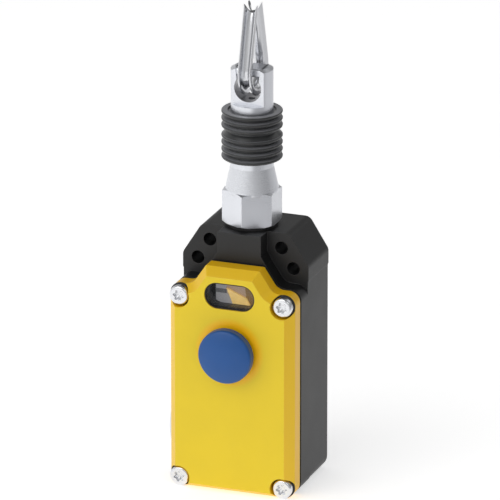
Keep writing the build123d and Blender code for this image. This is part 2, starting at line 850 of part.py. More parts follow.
def make_reset_guide():
    flange_rear = guide_flange_front_y + guide_flange_thickness
    guide = round_y(guide_flange_radius, guide_flange_front_y, flange_rear, 0, button_z)
    guide += round_y(guide_radius, flange_rear, guide_rear_y, 0, button_z)
    return guide - round_y(stem_radius + fit, guide_flange_front_y - 1, guide_rear_y + 1, 0, button_z)


def make_reset_seal():
    front = cover_front_y - reset_seal_thickness
    ring = round_y(guide_flange_radius, front, cover_front_y, 0, button_z)
    return ring - round_y(guide_radius + fit, front - 1, cover_front_y + 1, 0, button_z)


def make_reset_nut():
    shape = Pos(0, button_z) * RegularPolygon(reset_nut_flats / 2, 6, major_radius=False)
    nut = slab(shape, bracket_rear_y, bracket_rear_y + reset_nut_thickness)
    return nut - round_y(guide_radius + fit, bracket_rear_y - 1, bracket_rear_y + 5, 0, button_z)


def make_reset_spring():
    length = guide_flange_front_y - recess_floor_y - 2 * spring_end_gap
    spring = coil(reset_spring_radius, reset_spring_wire, length, reset_spring_turns)
    return Pos(0, guide_flange_front_y - spring_end_gap, button_z) * Rot(90, 0, 0) * spring


# Latch
def make_latch_bracket():
    width = (-bracket_half_width, bracket_half_width)
    base = block(width, (cover_inner_y, bracket_rear_y), (bracket_bottom, bracket_top))
    base = fillet(base.edges().filter_by(Axis.Y), bracket_corner_radius)
    base -= round_y(guide_radius + fit, cover_inner_y - 1, bracket_rear_y + 1, 0, button_z)
    low, high = latch_pivot_z - cheek_half_height, latch_pivot_z + cheek_half_height
    for sign in (-1, 1):
        near, far = sign * cheek_inner_x, sign * (cheek_inner_x + cheek_thickness)
        cheek_x = (min(near, far), max(near, far))
        cheek = block(cheek_x, (bracket_rear_y - 0.5, latch_pivot_y), (low, high))
        cheek += round_x(cheek_half_height, cheek_x[0], cheek_x[1], latch_pivot_y, latch_pivot_z)
        # The cheeks are notched where the clamping nut is turned
        notch_rear = bracket_rear_y + reset_nut_thickness + gap
        cheek -= round_y(reset_nut_flats / sqrt(3) + gap, bracket_rear_y, notch_rear, 0, button_z)
        hole = round_x(latch_pin_radius + fit, cheek_x[0] - 1, cheek_x[1] + 1, latch_pivot_y, latch_pivot_z)
        base += cheek - hole
    return base


def make_latch_lever():
    top = latch_pivot_z + latch_top_length
    bottom = latch_pivot_z - latch_tail_length
    width = (-latch_half_width, latch_half_width)
    lever = block(width, (latch_front_y, latch_rear_y), (bottom, top))
    lever += round_x(latch_thickness * latch_hub_share, width[0], width[1], latch_pivot_y, latch_pivot_z)
    tooth_y = -(latch_ring_radius + gap)
    lever += block(width, (latch_rear_y - 0.5, tooth_y), (bottom, bottom + latch_tooth_height))
    return lever - round_x(latch_pin_radius + fit, width[0] - 1, width[1] + 1, latch_pivot_y, latch_pivot_z)


def make_latch_pin():
    reach = cheek_inner_x + cheek_thickness
    end = reach + latch_pin_end
    pin = round_x(latch_pin_radius, -end, end, latch_pivot_y, latch_pivot_z)
    for sign in (-1, 1):
        low, high = sorted((sign * (reach + slip), sign * end))
        pin += round_x(latch_pin_radius + latch_pin_lip, low, high, latch_pivot_y, latch_pivot_z)
    return pin


def make_latch_spring():
    length = latch_front_y - bracket_rear_y - 2 * spring_end_gap
    spring = coil(latch_spring_radius, latch_spring_wire, length, latch_spring_turns)
    z = latch_pivot_z - latch_tail_length + latch_spring_radius + latch_spring_wire / 2
    return Pos(0, latch_front_y - spring_end_gap, z) * Rot(90, 0, 0) * spring


# Neck
def make_neck_nut():
    corner = neck_flats / sqrt(3)
    nut = hexagon_z(neck_flats, hex_bottom, hex_top)
    rise = hex_chamfer * tan(radians(30))
    nut &= turned([
        (0, hex_bottom),
        (corner - hex_chamfer, hex_bottom),
        (corner, hex_bottom + rise),
        (corner, hex_top - rise),
        (corner - hex_chamfer, hex_top),
        (0, hex_top),
    ])
    nut += turned([
        (0, hex_top - 1),
        (cone_bottom_radius, hex_top - 1),
        (cone_bottom_radius, hex_top),
        (cone_top_radius, cone_top),
        (cone_top_radius, neck_top),
        (0, neck_top),
    ])
    nut += round_z(stub_radius, stub_bottom, hex_bottom)
    nut -= round_z(neck_bore_radius, stub_bottom - 1, neck_top + 1)
    lower, upper = bush_spans()
    nut -= round_z(bush_radius + fit, lower[0] - 1, lower[1])
    return nut - round_z(bush_radius + fit, upper[0], upper[1] + 1)


def bush_spans():
    return [(stub_bottom, stub_bottom + bush_length), (neck_top - bush_length, neck_top)]


def make_guide_bushes():
    bushes = []
    for low, high in bush_spans():
        bushes.append(round_z(bush_radius, low, high) - round_z(rod_radius + fit, low - 1, high + 1))
    return Compound(children=bushes)


def make_rod_seal():
    low, high = rod_seal_z - rod_seal_height / 2, rod_seal_z + rod_seal_height / 2
    return round_z(neck_bore_radius - 0.02, low, high) - round_z(rod_radius + fit, low - 1, high + 1)


def make_neck_seal():
    ring = round_z(neck_seal_radius, head_height, hex_bottom)
    return ring - round_z(stub_radius + fit, head_height - 1, hex_bottom + 1)


# Pull rod
def make_pull_rod():
    rod = round_z(rod_radius, rod_bottom, rod_top)
    ends = rod.edges().group_by(Axis.Z)
    rod = chamfer(ends[0] + ends[-1], rod_end_chamfer)
    low = cam_bottom - clip_thickness
    groove = round_z(rod_radius + 1, low, cam_bottom)
    return rod - (groove - round_z(rod_radius - groove_depth, low - 1, cam_bottom + 1))


def make_lock_nut():
    nut = hexagon_z(lock_nut_flats, lock_nut_bottom, eye_bottom)
    return nut - round_z(rod_radius + fit, lock_nut_bottom - 1, eye_bottom + 1)


def make_spring_seat():
    seat = round_z(spring_seat_radius, spring_top, stub_bottom)
    return seat - round_z(rod_radius + gap, spring_top - 1, stub_bottom + 1)


def make_main_spring():
    length = spring_top - spring_bottom - 2 * spring_end_gap
    spring = coil(main_spring_radius, main_spring_wire, length, main_spring_turns)
    return Pos(0, 0, spring_bottom + spring_end_gap) * spring


def make_spring_collar():
    collar = round_z(collar_radius, collar_bottom, spring_bottom)
    collar = chamfer(collar.edges().group_by(Axis.Z)[0], collar_chamfer)
    return collar - round_z(rod_radius + fit, collar_bottom - 1, spring_bottom + 1)


def make_spacer_tube():
    tube = round_z(spacer_radius, latch_ring_top, link_ring_bottom)
    return tube - round_z(rod_radius + fit, latch_ring_top - 1, link_ring_bottom + 1)


def make_latch_ring():
    ring = round_z(latch_ring_radius, latch_ring_bottom, latch_ring_top)
    return ring - round_z(rod_radius + fit, latch_ring_bottom - 1, latch_ring_top + 1)


def make_cam_sleeve():
    bottom_radius = cam_top_radius + cam_slope * (latch_ring_bottom - cam_bottom)
    return turned([
        (rod_radius + fit, cam_bottom),
        (bottom_radius, cam_bottom),
        (cam_top_radius, latch_ring_bottom),
        (rod_radius + fit, latch_ring_bottom),
    ])


def make_rod_circlip():
    low = cam_bottom - clip_thickness
    ring = round_z(circlip_radius, low, cam_bottom)
    ring -= round_z(rod_radius - groove_depth + clip_fit, low - 1, cam_bottom + 1)
    mouth = rod_radius - groove_depth - clip_mouth_lip
    return ring - block((-mouth, mouth), (-circlip_radius - 1, 0), (low - 1, cam_bottom + 1))


def make_lower_guide():
    top = lower_guide_bottom + lower_guide_thickness
    half = lower_guide_half_width
    arm = block((-half, half), (-lower_guide_front, inner_rear_y), (lower_guide_bottom, top))
    arm = fillet(arm.edges().filter_by(Axis.Z).group_by(Axis.Y)[0], lower_guide_radius)
    leg_y = (inner_rear_y - lower_guide_thickness, inner_rear_y)
    arm += block((-half, half), leg_y, (lower_guide_bottom - lower_guide_leg, top))
    z = lower_guide_bottom - lower_guide_leg / 2
    for sign in (-1, 1):
        arm -= round_y(block_screw_radius + slip, leg_y[0] - 1, inner_rear_y + 1, sign * guide_screw_x, z)
    return arm - round_z(rod_radius + fit, lower_guide_bottom - 1, top + 1)


def pan_screw(radius, head_radius, head_height, seat_y, end_y, x, z):
    """Slotted screw along +Y with its head in front of the seat plane."""
    screw = round_y(radius, seat_y, end_y, x, z) + round_y(head_radius, seat_y - head_height, seat_y, x, z)
    slot = block(
        (x - head_radius - 1, x + head_radius + 1),
        (seat_y - head_height - 1, seat_y - head_height / 2),
        (z - pan_slot / 2, z + pan_slot / 2),
    )
    return screw - slot


def wall_screw(seat_y, x, z):
    """Screw into the housing's rear wall."""
    end_y = inner_rear_y + wall_thread_depth - gap
    head = (block_screw_head_radius, block_screw_head_height)
    return pan_screw(block_screw_radius, *head, seat_y, end_y, x, z)


def make_guide_screws():
    z = lower_guide_bottom - lower_guide_leg / 2
    seat_y = inner_rear_y - lower_guide_thickness
    return Compound(children=[wall_screw(seat_y, sign * guide_screw_x, z) for sign in (-1, 1)])


# Contact blocks
def terminal_places(sign):
    return [
        (sign * block_x + column * terminal_column, block_z + row * terminal_row)
        for column in (-1, 1)
        for row in (-1, 1)
    ]


def make_contact_block(sign):
    near, far = sorted((sign * block_inner_x, sign * block_outer_x))
    top = block_bottom + block_height
    body = block((near, far), (block_front_y, inner_rear_y), (block_bottom, top))
    body = fillet(body.edges().filter_by(Axis.Z), block_corner_radius)
    x = sign * block_x
    rib_y = (block_front_y - block_rib_depth, block_front_y + 1)
    for low, high in ((block_bottom, block_z - block_rib_gap), (block_z + block_rib_gap, top)):
        body += block((x - block_rib / 2, x + block_rib / 2), rib_y, (low, high))
    for place_x, place_z in terminal_places(sign):
        end_y = block_front_y + terminal_screw_length
        body -= round_y(terminal_screw_radius + fit, block_front_y - 1, end_y, place_x, place_z)
    body -= round_y(block_screw_radius + slip, block_front_y - 1, inner_rear_y + 1, x, block_z)
    hole_far = sign * (plunger_end_x + plunger_travel + plunger_end_gap)
    low, high = sorted((sign * (block_inner_x - 1), hole_far))
    return body - round_x(plunger_radius + fit, low, high, 0, plunger_z)


def make_left_block():
    return make_contact_block(-1)


def make_right_block():
    return make_contact_block(1)


def make_plunger(sign):
    """Round-nosed plunger that follows the cam."""
    start = plunger_tip_x + plunger_radius
    low, high = sorted((sign * start, sign * plunger_end_x))
    nose = Pos(sign * start, 0, plunger_z) * Sphere(plunger_radius)
    return round_x(plunger_radius, low, high, 0, plunger_z) + nose


def make_left_plunger():
    return make_plunger(-1)


def make_right_plunger():
    return make_plunger(1)


def make_terminal_clamps():
    half = clamp_size / 2
    clamps = []
    for sign in (-1, 1):
        for x, z in terminal_places(sign):
            front = block_front_y - clamp_thickness
            plate = block((x - half, x + half), (front, block_front_y), (z - half, z + half))
            hole = round_y(terminal_screw_radius + slip, block_front_y - 3, block_front_y + 1, x, z)
            clamps.append(plate - hole)
    return Compound(children=clamps)


def make_terminal_screws():
    screws = []
    seat_y = block_front_y - clamp_thickness
    end_y = block_front_y + terminal_screw_length - gap
    for sign in (-1, 1):
        for x, z in terminal_places(sign):
            screws.append(
                pan_screw(
                    terminal_screw_radius, terminal_head_radius, terminal_head_height, seat_y, end_y, x, z
                )
            )
    return Compound(children=screws)


def make_block_screws():
    return Compound(children=[wall_screw(block_front_y, sign * block_x, block_z) for sign in (-1, 1)])


def make_earth_terminal():
    front = inner_rear_y - earth_boss_depth
    washer_size = earth_boss_radius - earth_washer_inset
    washer = round_y(washer_size, front - clamp_thickness, front, earth_x, earth_z)
    washer -= round_y(block_screw_radius + slip, front - 3, front + 1, earth_x, earth_z)
    screw = pan_screw(
        block_screw_radius,
        block_screw_head_radius,
        block_screw_head_height,
        front - clamp_thickness,
        inner_rear_y - 1,
        earth_x,
        earth_z,
    )
    return Compound(children=[washer, screw])


# Rope eye, thimble and bellows
def make_rope_eye():
    eye = turned([
        (0, eye_bottom),
        (eye_radius, eye_bottom),
        (eye_radius, eye_top - eye_chamfer_height),
        (eye_radius - eye_chamfer_width, eye_top),
        (0, eye_top),
    ])
    reach = eye_radius + 1
    for sign in (-1, 1):
        near, far = sorted((sign * eye_flat_y, sign * reach))
        eye -= block((-reach, reach), (near, far), (eye_flat_bottom, eye_top + 1))
    eye -= round_y(eye_hole_radius, -reach, reach, 0, eye_hole_z)
    eye -= block((-eye_hole_radius, eye_hole_radius), (-reach, reach), (eye_hole_z, eye_top + 1))
    rounded = [
        edge
        for edge in eye.edges()
        if abs(abs(edge.center().Y) - eye_flat_y) < 0.01
        and abs(edge.center().X) < eye_hole_radius + 0.01
        and edge.center().Z > eye_hole_z - eye_hole_radius - 0.01
        and edge.center().Z < eye_top - 1.0
    ]
    eye = fillet(rounded, eye_edge_radius)
    low, high = eye_bar_underside, eye_top
    depth = eye_bar_half_depth
    section = [(-depth, low), (depth, low), (depth, high), (-depth, high)]
    bar = rounded_outline(section, [eye_bar_radius] * len(section))
    eye += side_slab(bar, -eye_hole_radius - eye_bar_root, eye_hole_radius + eye_bar_root)
    eye -= round_z(rod_radius + clip_fit, eye_bottom - 1, rod_top + eye_bore_extra)
    return eye - round_z(eye_drain_radius, rod_top - 1, eye_hole_z)


def tear_shape(big_radius, small_radius):
    """Outline round a large and a small circle, joined by their tangents, as (y, z)."""
    lean = asin((big_radius - small_radius) / thimble_reach)
    side = (cos(lean), sin(lean))
    big_right = (thimble_y + big_radius * side[0], thimble_z + big_radius * side[1])
    big_left = (thimble_y - big_radius * side[0], big_right[1])
    top_z = thimble_z + thimble_reach
    small_right = (thimble_y + small_radius * side[0], top_z + small_radius * side[1])
    small_left = (thimble_y - small_radius * side[0], small_right[1])
    return make_face([
        Line(big_right, small_right),
        ThreePointArc(small_right, (thimble_y, top_z + small_radius), small_left),
        Line(small_left, big_left),
        ThreePointArc(big_left, (thimble_y, thimble_z - big_radius), big_right),
    ])


def make_thimble():
    """Sheet channel bent to a teardrop, with its groove outwards and its two ends side by side."""
    half = thimble_half_width
    shell = side_slab(tear_shape(thimble_inner_radius + thimble_depth, thimble_tip_radius), -half, half)
    shell -= side_slab(tear_shape(thimble_inner_radius, thimble_tip_inner_radius), -half - 1, half + 1)
    floor_radius = thimble_inner_radius + thimble_web
    kept = side_slab(
        tear_shape(floor_radius, thimble_tip_inner_radius + thimble_web), -half - 1, half + 1
    )
    groove_half = half - thimble_sheet
    outside = 2 * (thimble_inner_radius + thimble_depth)
    wide_y = (thimble_y - outside, thimble_y + outside)
    above = thimble_z + thimble_reach + outside
    groove = block((-groove_half, groove_half), wide_y, (thimble_z - outside, above))
    shell -= groove - (kept - block((-half, half), wide_y, (thimble_groove_top, above)))
    slit_y = (thimble_y - thimble_slit / 2, thimble_y + thimble_slit / 2)
    slit_z = (thimble_z + thimble_reach - 2, thimble_z + thimble_reach + thimble_tip_radius + 1)
    return shell - block((-half - 1, half + 1), slit_y, slit_z)


def fold_heights():
    """Height of each fold, with the wider step between the lower and the upper group."""
    heights = [bellows_first_z + index * bellows_pitch for index in range(bellows_lower_folds)]
    first_upper = heights[-1] + bellows_step
    return heights + [first_upper + index * bellows_pitch for index in range(bellows_upper_folds)]


def make_bellows():
    heights = fold_heights()
    rim = bellows_crest_radius - bellows_crest_round
    low = heights[0] - bellows_crest_round
    high = heights[-1] + bellows_crest_round
    core = round_z(bellows_valley_radius, low, high) - round_z(bellows_inner_radius, low - 1, high + 1)
    for z in heights:
        fold = round_z(rim, z - bellows_crest_round, z + bellows_crest_round)
        fold += Pos(0, 0, z) * Torus(rim, bellows_crest_round)
        core += fold - round_z(bellows_inner_radius, z - 3, z + 3)
    lower = round_z(bellows_valley_radius, low, low + bellows_collar)
    lower -= round_z(cone_top_radius + fit, low - 1, low + bellows_collar + 1)
    upper = round_z(bellows_valley_radius, high - bellows_collar, high)
    upper -= round_z(eye_radius + fit, high - bellows_collar - 1, high + 1)
    return core + lower + upper


# Side entry plug
def make_blanking_plug():
    left = plug_head_x - plug_head_thickness
    head = round_x(plug_head_radius, left, plug_head_x, 0, side_entry_z)
    head = fillet(head.edges().group_by(Axis.X)[0], plug_head_round)
    plug = head + round_x(entry_radius - fit, plug_head_x, plug_seal_x + plug_shank_length, 0, side_entry_z)
    socket = RegularPolygon(plug_socket_flats / 2, 6, major_radius=False)
    socket = side_slab(Pos(0, side_entry_z) * socket, left - 1, left + plug_socket_depth)
    return plug - socket


def make_plug_seal():
    ring = round_x(plug_head_radius - plug_seal_inset, plug_head_x, plug_seal_x, 0, side_entry_z)
    return ring - round_x(entry_radius, plug_head_x - 1, plug_seal_x + 1, 0, side_entry_z)


parts = {
    "housing": make_housing,
    "cover": make_cover,
    "cover_gasket": make_gasket,
    "cover_screws": make_cover_screws,
    "cover_screw_washers": make_screw_washers,
    "window_lens": make_window_lens,
    "window_seal": make_window_seal,
    "window_bezel": make_window_bezel,
    "bezel_screws": make_bezel_screws,
    "indicator_dial": make_indicator_dial,
    "indicator_pointer": make_indicator_pointer,
    "indicator_link": make_indicator_link,
    "reset_cap": make_reset_cap,
    "reset_stem": make_reset_stem,
    "reset_clip": make_reset_clip,
    "reset_guide": make_reset_guide,
    "reset_seal": make_reset_seal,
    "reset_nut": make_reset_nut,
    "reset_spring": make_reset_spring,
    "latch_bracket": make_latch_bracket,
    "latch_lever": make_latch_lever,
    "latch_pin": make_latch_pin,
    "latch_spring": make_latch_spring,
    "neck_nut": make_neck_nut,
    "neck_seal": make_neck_seal,
    "guide_bushes": make_guide_bushes,
    "rod_seal": make_rod_seal,
    "pull_rod": make_pull_rod,
    "lock_nut": make_lock_nut,
    "spring_seat": make_spring_seat,
    "main_spring": make_main_spring,
    "spring_collar": make_spring_collar,
    "spacer_tube": make_spacer_tube,
    "latch_ring": make_latch_ring,
    "cam_sleeve": make_cam_sleeve,
    "rod_circlip": make_rod_circlip,
    "lower_guide": make_lower_guide,
    "guide_screws": make_guide_screws,
    "contact_block_left": make_left_block,
    "contact_block_right": make_right_block,
    "plunger_left": make_left_plunger,
    "plunger_right": make_right_plunger,
    "block_screws": make_block_screws,
    "terminal_clamps": make_terminal_clamps,
    "terminal_screws": make_terminal_screws,
    "earth_terminal": make_earth_terminal,
    "rope_eye": make_rope_eye,
    "thimble": make_thimble,
    "bellows": make_bellows,
    "blanking_plug": make_blanking_plug,
    "plug_seal": make_plug_seal,
}

os.makedirs("parts", exist_ok=True)
row_frame = Pos(0, -rear_to_axis, -lower_hole_height)
for name, make in parts.items():
    export_step(row_frame * make(), f"parts/{name}.step")
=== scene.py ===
"""Looks of a rope pull switch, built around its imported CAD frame.

Sizes in the classes are millimetres in the maker's frame: Z = 0 is the underside of the housing, the pull
axis stands at X = 0, Y = 0 and the cover side is -Y. Meshes and the studio are in metres in the row frame.
"""

import logging
import math
from collections.abc import Callable, Iterable, Sequence
from dataclasses import dataclass, replace
from enum import Enum

import bmesh
import bpy
from mathutils import Matrix, Vector

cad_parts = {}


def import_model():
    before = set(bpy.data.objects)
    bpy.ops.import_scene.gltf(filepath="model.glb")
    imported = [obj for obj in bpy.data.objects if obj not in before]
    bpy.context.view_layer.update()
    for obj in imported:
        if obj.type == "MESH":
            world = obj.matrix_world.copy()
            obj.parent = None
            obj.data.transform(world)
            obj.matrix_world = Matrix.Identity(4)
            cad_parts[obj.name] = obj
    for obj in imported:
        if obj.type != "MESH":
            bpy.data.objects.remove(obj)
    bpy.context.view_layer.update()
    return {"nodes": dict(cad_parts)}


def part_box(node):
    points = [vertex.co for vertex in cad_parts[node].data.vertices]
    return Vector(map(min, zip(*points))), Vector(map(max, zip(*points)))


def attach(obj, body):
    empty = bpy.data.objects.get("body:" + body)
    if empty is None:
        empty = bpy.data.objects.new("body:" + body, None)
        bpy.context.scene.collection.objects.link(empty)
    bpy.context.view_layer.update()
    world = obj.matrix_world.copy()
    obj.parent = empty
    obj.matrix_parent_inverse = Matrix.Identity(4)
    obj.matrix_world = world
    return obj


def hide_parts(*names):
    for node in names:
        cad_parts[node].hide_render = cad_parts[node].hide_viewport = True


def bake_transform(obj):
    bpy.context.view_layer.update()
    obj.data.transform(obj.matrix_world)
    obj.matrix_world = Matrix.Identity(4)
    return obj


LOG = logging.getLogger("rope_pull_switch")

MM = 0.001
REAR_TO_AXIS = 16.5
LOWER_HOLE_HEIGHT = 90.9
MERGE_DISTANCE = 1e-6

Colour = tuple[float, float, float]
Pair = tuple[float, float]
Point = tuple[float, float, float]
Nodes = dict[str, bpy.types.Object]
Placing = Callable[[float, float, float], Vector]
Rings = Sequence[Sequence[bmesh.types.BMVert]]


def row_point(x: float, y: float, z: float) -> Vector:
    """Turns a place in the maker's frame into the row frame.

    Args:
        x: Millimetres to the right of the pull axis.
        y: Millimetres behind the pull axis.
        z: Millimetres above the housing's underside.

    Returns:
        The same place in metres, in the row frame.
    """
    return Vector((x, y - REAR_TO_AXIS, z - LOWER_HOLE_HEIGHT)) * MM


def front_point(x: float, z: float, y: float) -> Vector:
    """Returns the row point for a place of a front view, (x, z), and its y."""
    return row_point(x, y, z)


def linear(red: float, green: float, blue: float) -> Colour:
    """Turns a screen colour of 0 to 255 into the linear colour that a shader takes.

    Args:
        red: Red part.
        green: Green part.
        blue: Blue part.

    Returns:
        The linear colour.
    """
    parts = (channel / 255 for channel in (red, green, blue))
    return tuple(part / 12.92 if part <= 0.04045 else ((part + 0.055) / 1.055) ** 2.4 for part in parts)


class Signal:
    """A node's output that takes part in Python arithmetic."""

    def __init__(self, graph: "Graph", socket: bpy.types.NodeSocket) -> None:
        """Wraps an output socket of the graph."""
        self.graph = graph
        self.socket = socket

    def maths(self, operation: str, *values: "Signal | float") -> "Signal":
        """Adds a Math node.

        Args:
            operation: The Math node's operation.
            *values: Its inputs, in order.

        Returns:
            The node's result.
        """
        made = self.graph.node("ShaderNodeMath", {"operation": operation}, dict(enumerate(values)))
        return Signal(self.graph, made.outputs[0])

    def __add__(self, other: "Signal | float") -> "Signal":
        """Returns self + other."""
        return self.maths("ADD", self, other)

    def __radd__(self, other: float) -> "Signal":
        """Returns other + self."""
        return self.maths("ADD", other, self)

    def __sub__(self, other: "Signal | float") -> "Signal":
        """Returns self - other."""
        return self.maths("SUBTRACT", self, other)

    def __rsub__(self, other: float) -> "Signal":
        """Returns other - self."""
        return self.maths("SUBTRACT", other, self)

    def __mul__(self, other: "Signal | float") -> "Signal":
        """Returns self * other."""
        return self.maths("MULTIPLY", self, other)

    def __rmul__(self, other: float) -> "Signal":
        """Returns other * self."""
        return self.maths("MULTIPLY", other, self)

    def __truediv__(self, other: "Signal | float") -> "Signal":
        """Returns self / other."""
        return self.maths("DIVIDE", self, other)

    def at_least(self, floor: "Signal | float") -> "Signal":
        """Returns the larger of self and floor."""
        return self.maths("MAXIMUM", self, floor)

    def at_most(self, ceiling: "Signal | float") -> "Signal":
        """Returns the smaller of self and ceiling."""
        return self.maths("MINIMUM", self, ceiling)

    def ramped(self, start: float, end: float) -> "Signal":
        """Adds a smooth step.

        Args:
            start: Where the step starts.
            end: Where it is complete.

        Returns:
            0 below the start and 1 above the end, smooth between them.
        """
        made = self.graph.node(
            "ShaderNodeMapRange",
            {"interpolation_type": "SMOOTHSTEP"},
            {"Value": self, "From Min": start, "From Max": end},
        )
        return Signal(self.graph, made.outputs[0])


class Graph:
    """Builds a node tree, for a shader or for geometry."""

    def __init__(self, tree: bpy.types.NodeTree) -> None:
        """Starts on an existing tree."""
        self.tree = tree

    def node(self, kind: str, settings: dict | None = None, inputs: dict | None = None) -> bpy.types.Node:
        """Adds one node.

        Args:
            kind: The node's type.
            settings: Attributes set first.
            inputs: Values or links, by the socket's name or number.

        Returns:
            The new node.
        """
        made = self.tree.nodes.new(kind)
        for name, value in (settings or {}).items():
            setattr(made, name, value)
        for key, value in (inputs or {}).items():
            self.feed(made.inputs[key], value)
        return made

    def feed(self, socket: bpy.types.NodeSocket, value: object) -> None:
        """Links or sets one input socket.

        Args:
            socket: The input.
            value: A signal or an output socket to link, or a plain value.
        """
        if isinstance(value, Signal):
            self.tree.links.new(value.socket, socket)
        elif isinstance(value, bpy.types.NodeSocket):
            self.tree.links.new(value, socket)
        else:
            socket.default_value = value

    def signal(self, node: bpy.types.Node, output: int | str = 0) -> Signal:
        """Wraps a node's output for arithmetic."""
        return Signal(self, node.outputs[output])

    def noise(self, vector: bpy.types.NodeSocket, feature: float) -> Signal:
        """Adds fractal noise of three octaves.

        Args:
            vector: Where the noise is read.
            feature: Size of its features in metres.

        Returns:
            The noise, about 0 to 1.
        """
        made = self.node(
            "ShaderNodeTexNoise", None, {"Vector": vector, "Scale": 1 / feature, "Detail": 3.0}
        )
        return self.signal(made, "Fac")

    def mixed(self, factor: Signal | float, first: object, second: object) -> bpy.types.NodeSocket:
        """Mixes two colours.

        Args:
            factor: 0 gives the first and 1 the second.
            first: A colour or a socket.
            second: A colour or a socket.

        Returns:
            The mixed colour's socket.
        """
        low, high = ((*value, 1.0) if isinstance(value, tuple) else value for value in (first, second))
        made = self.node("ShaderNodeMix", {"data_type": "RGBA"}, {0: factor, 6: low, 7: high})
        return made.outputs[2]


class Grain(Enum):
    """Fine relief of a finish, as the stretch of its noise along X, Y and Z."""

    EVEN = (1.0, 1.0, 1.0)
    TURNED = (0.03, 0.03, 1.0)
    ROLLED = (1.0, 0.02, 0.02)
    WOUND = (0.3, 0.3, 1.0)


@dataclass(frozen=True)
class PaintedShadeRing:
    """A round place on an upright face that takes painted shade, in millimetres.

    The colour is full up to the near radius and gone at the far one.
    """

    x: float
    z: float
    near: float
    far: float
    colour: Colour


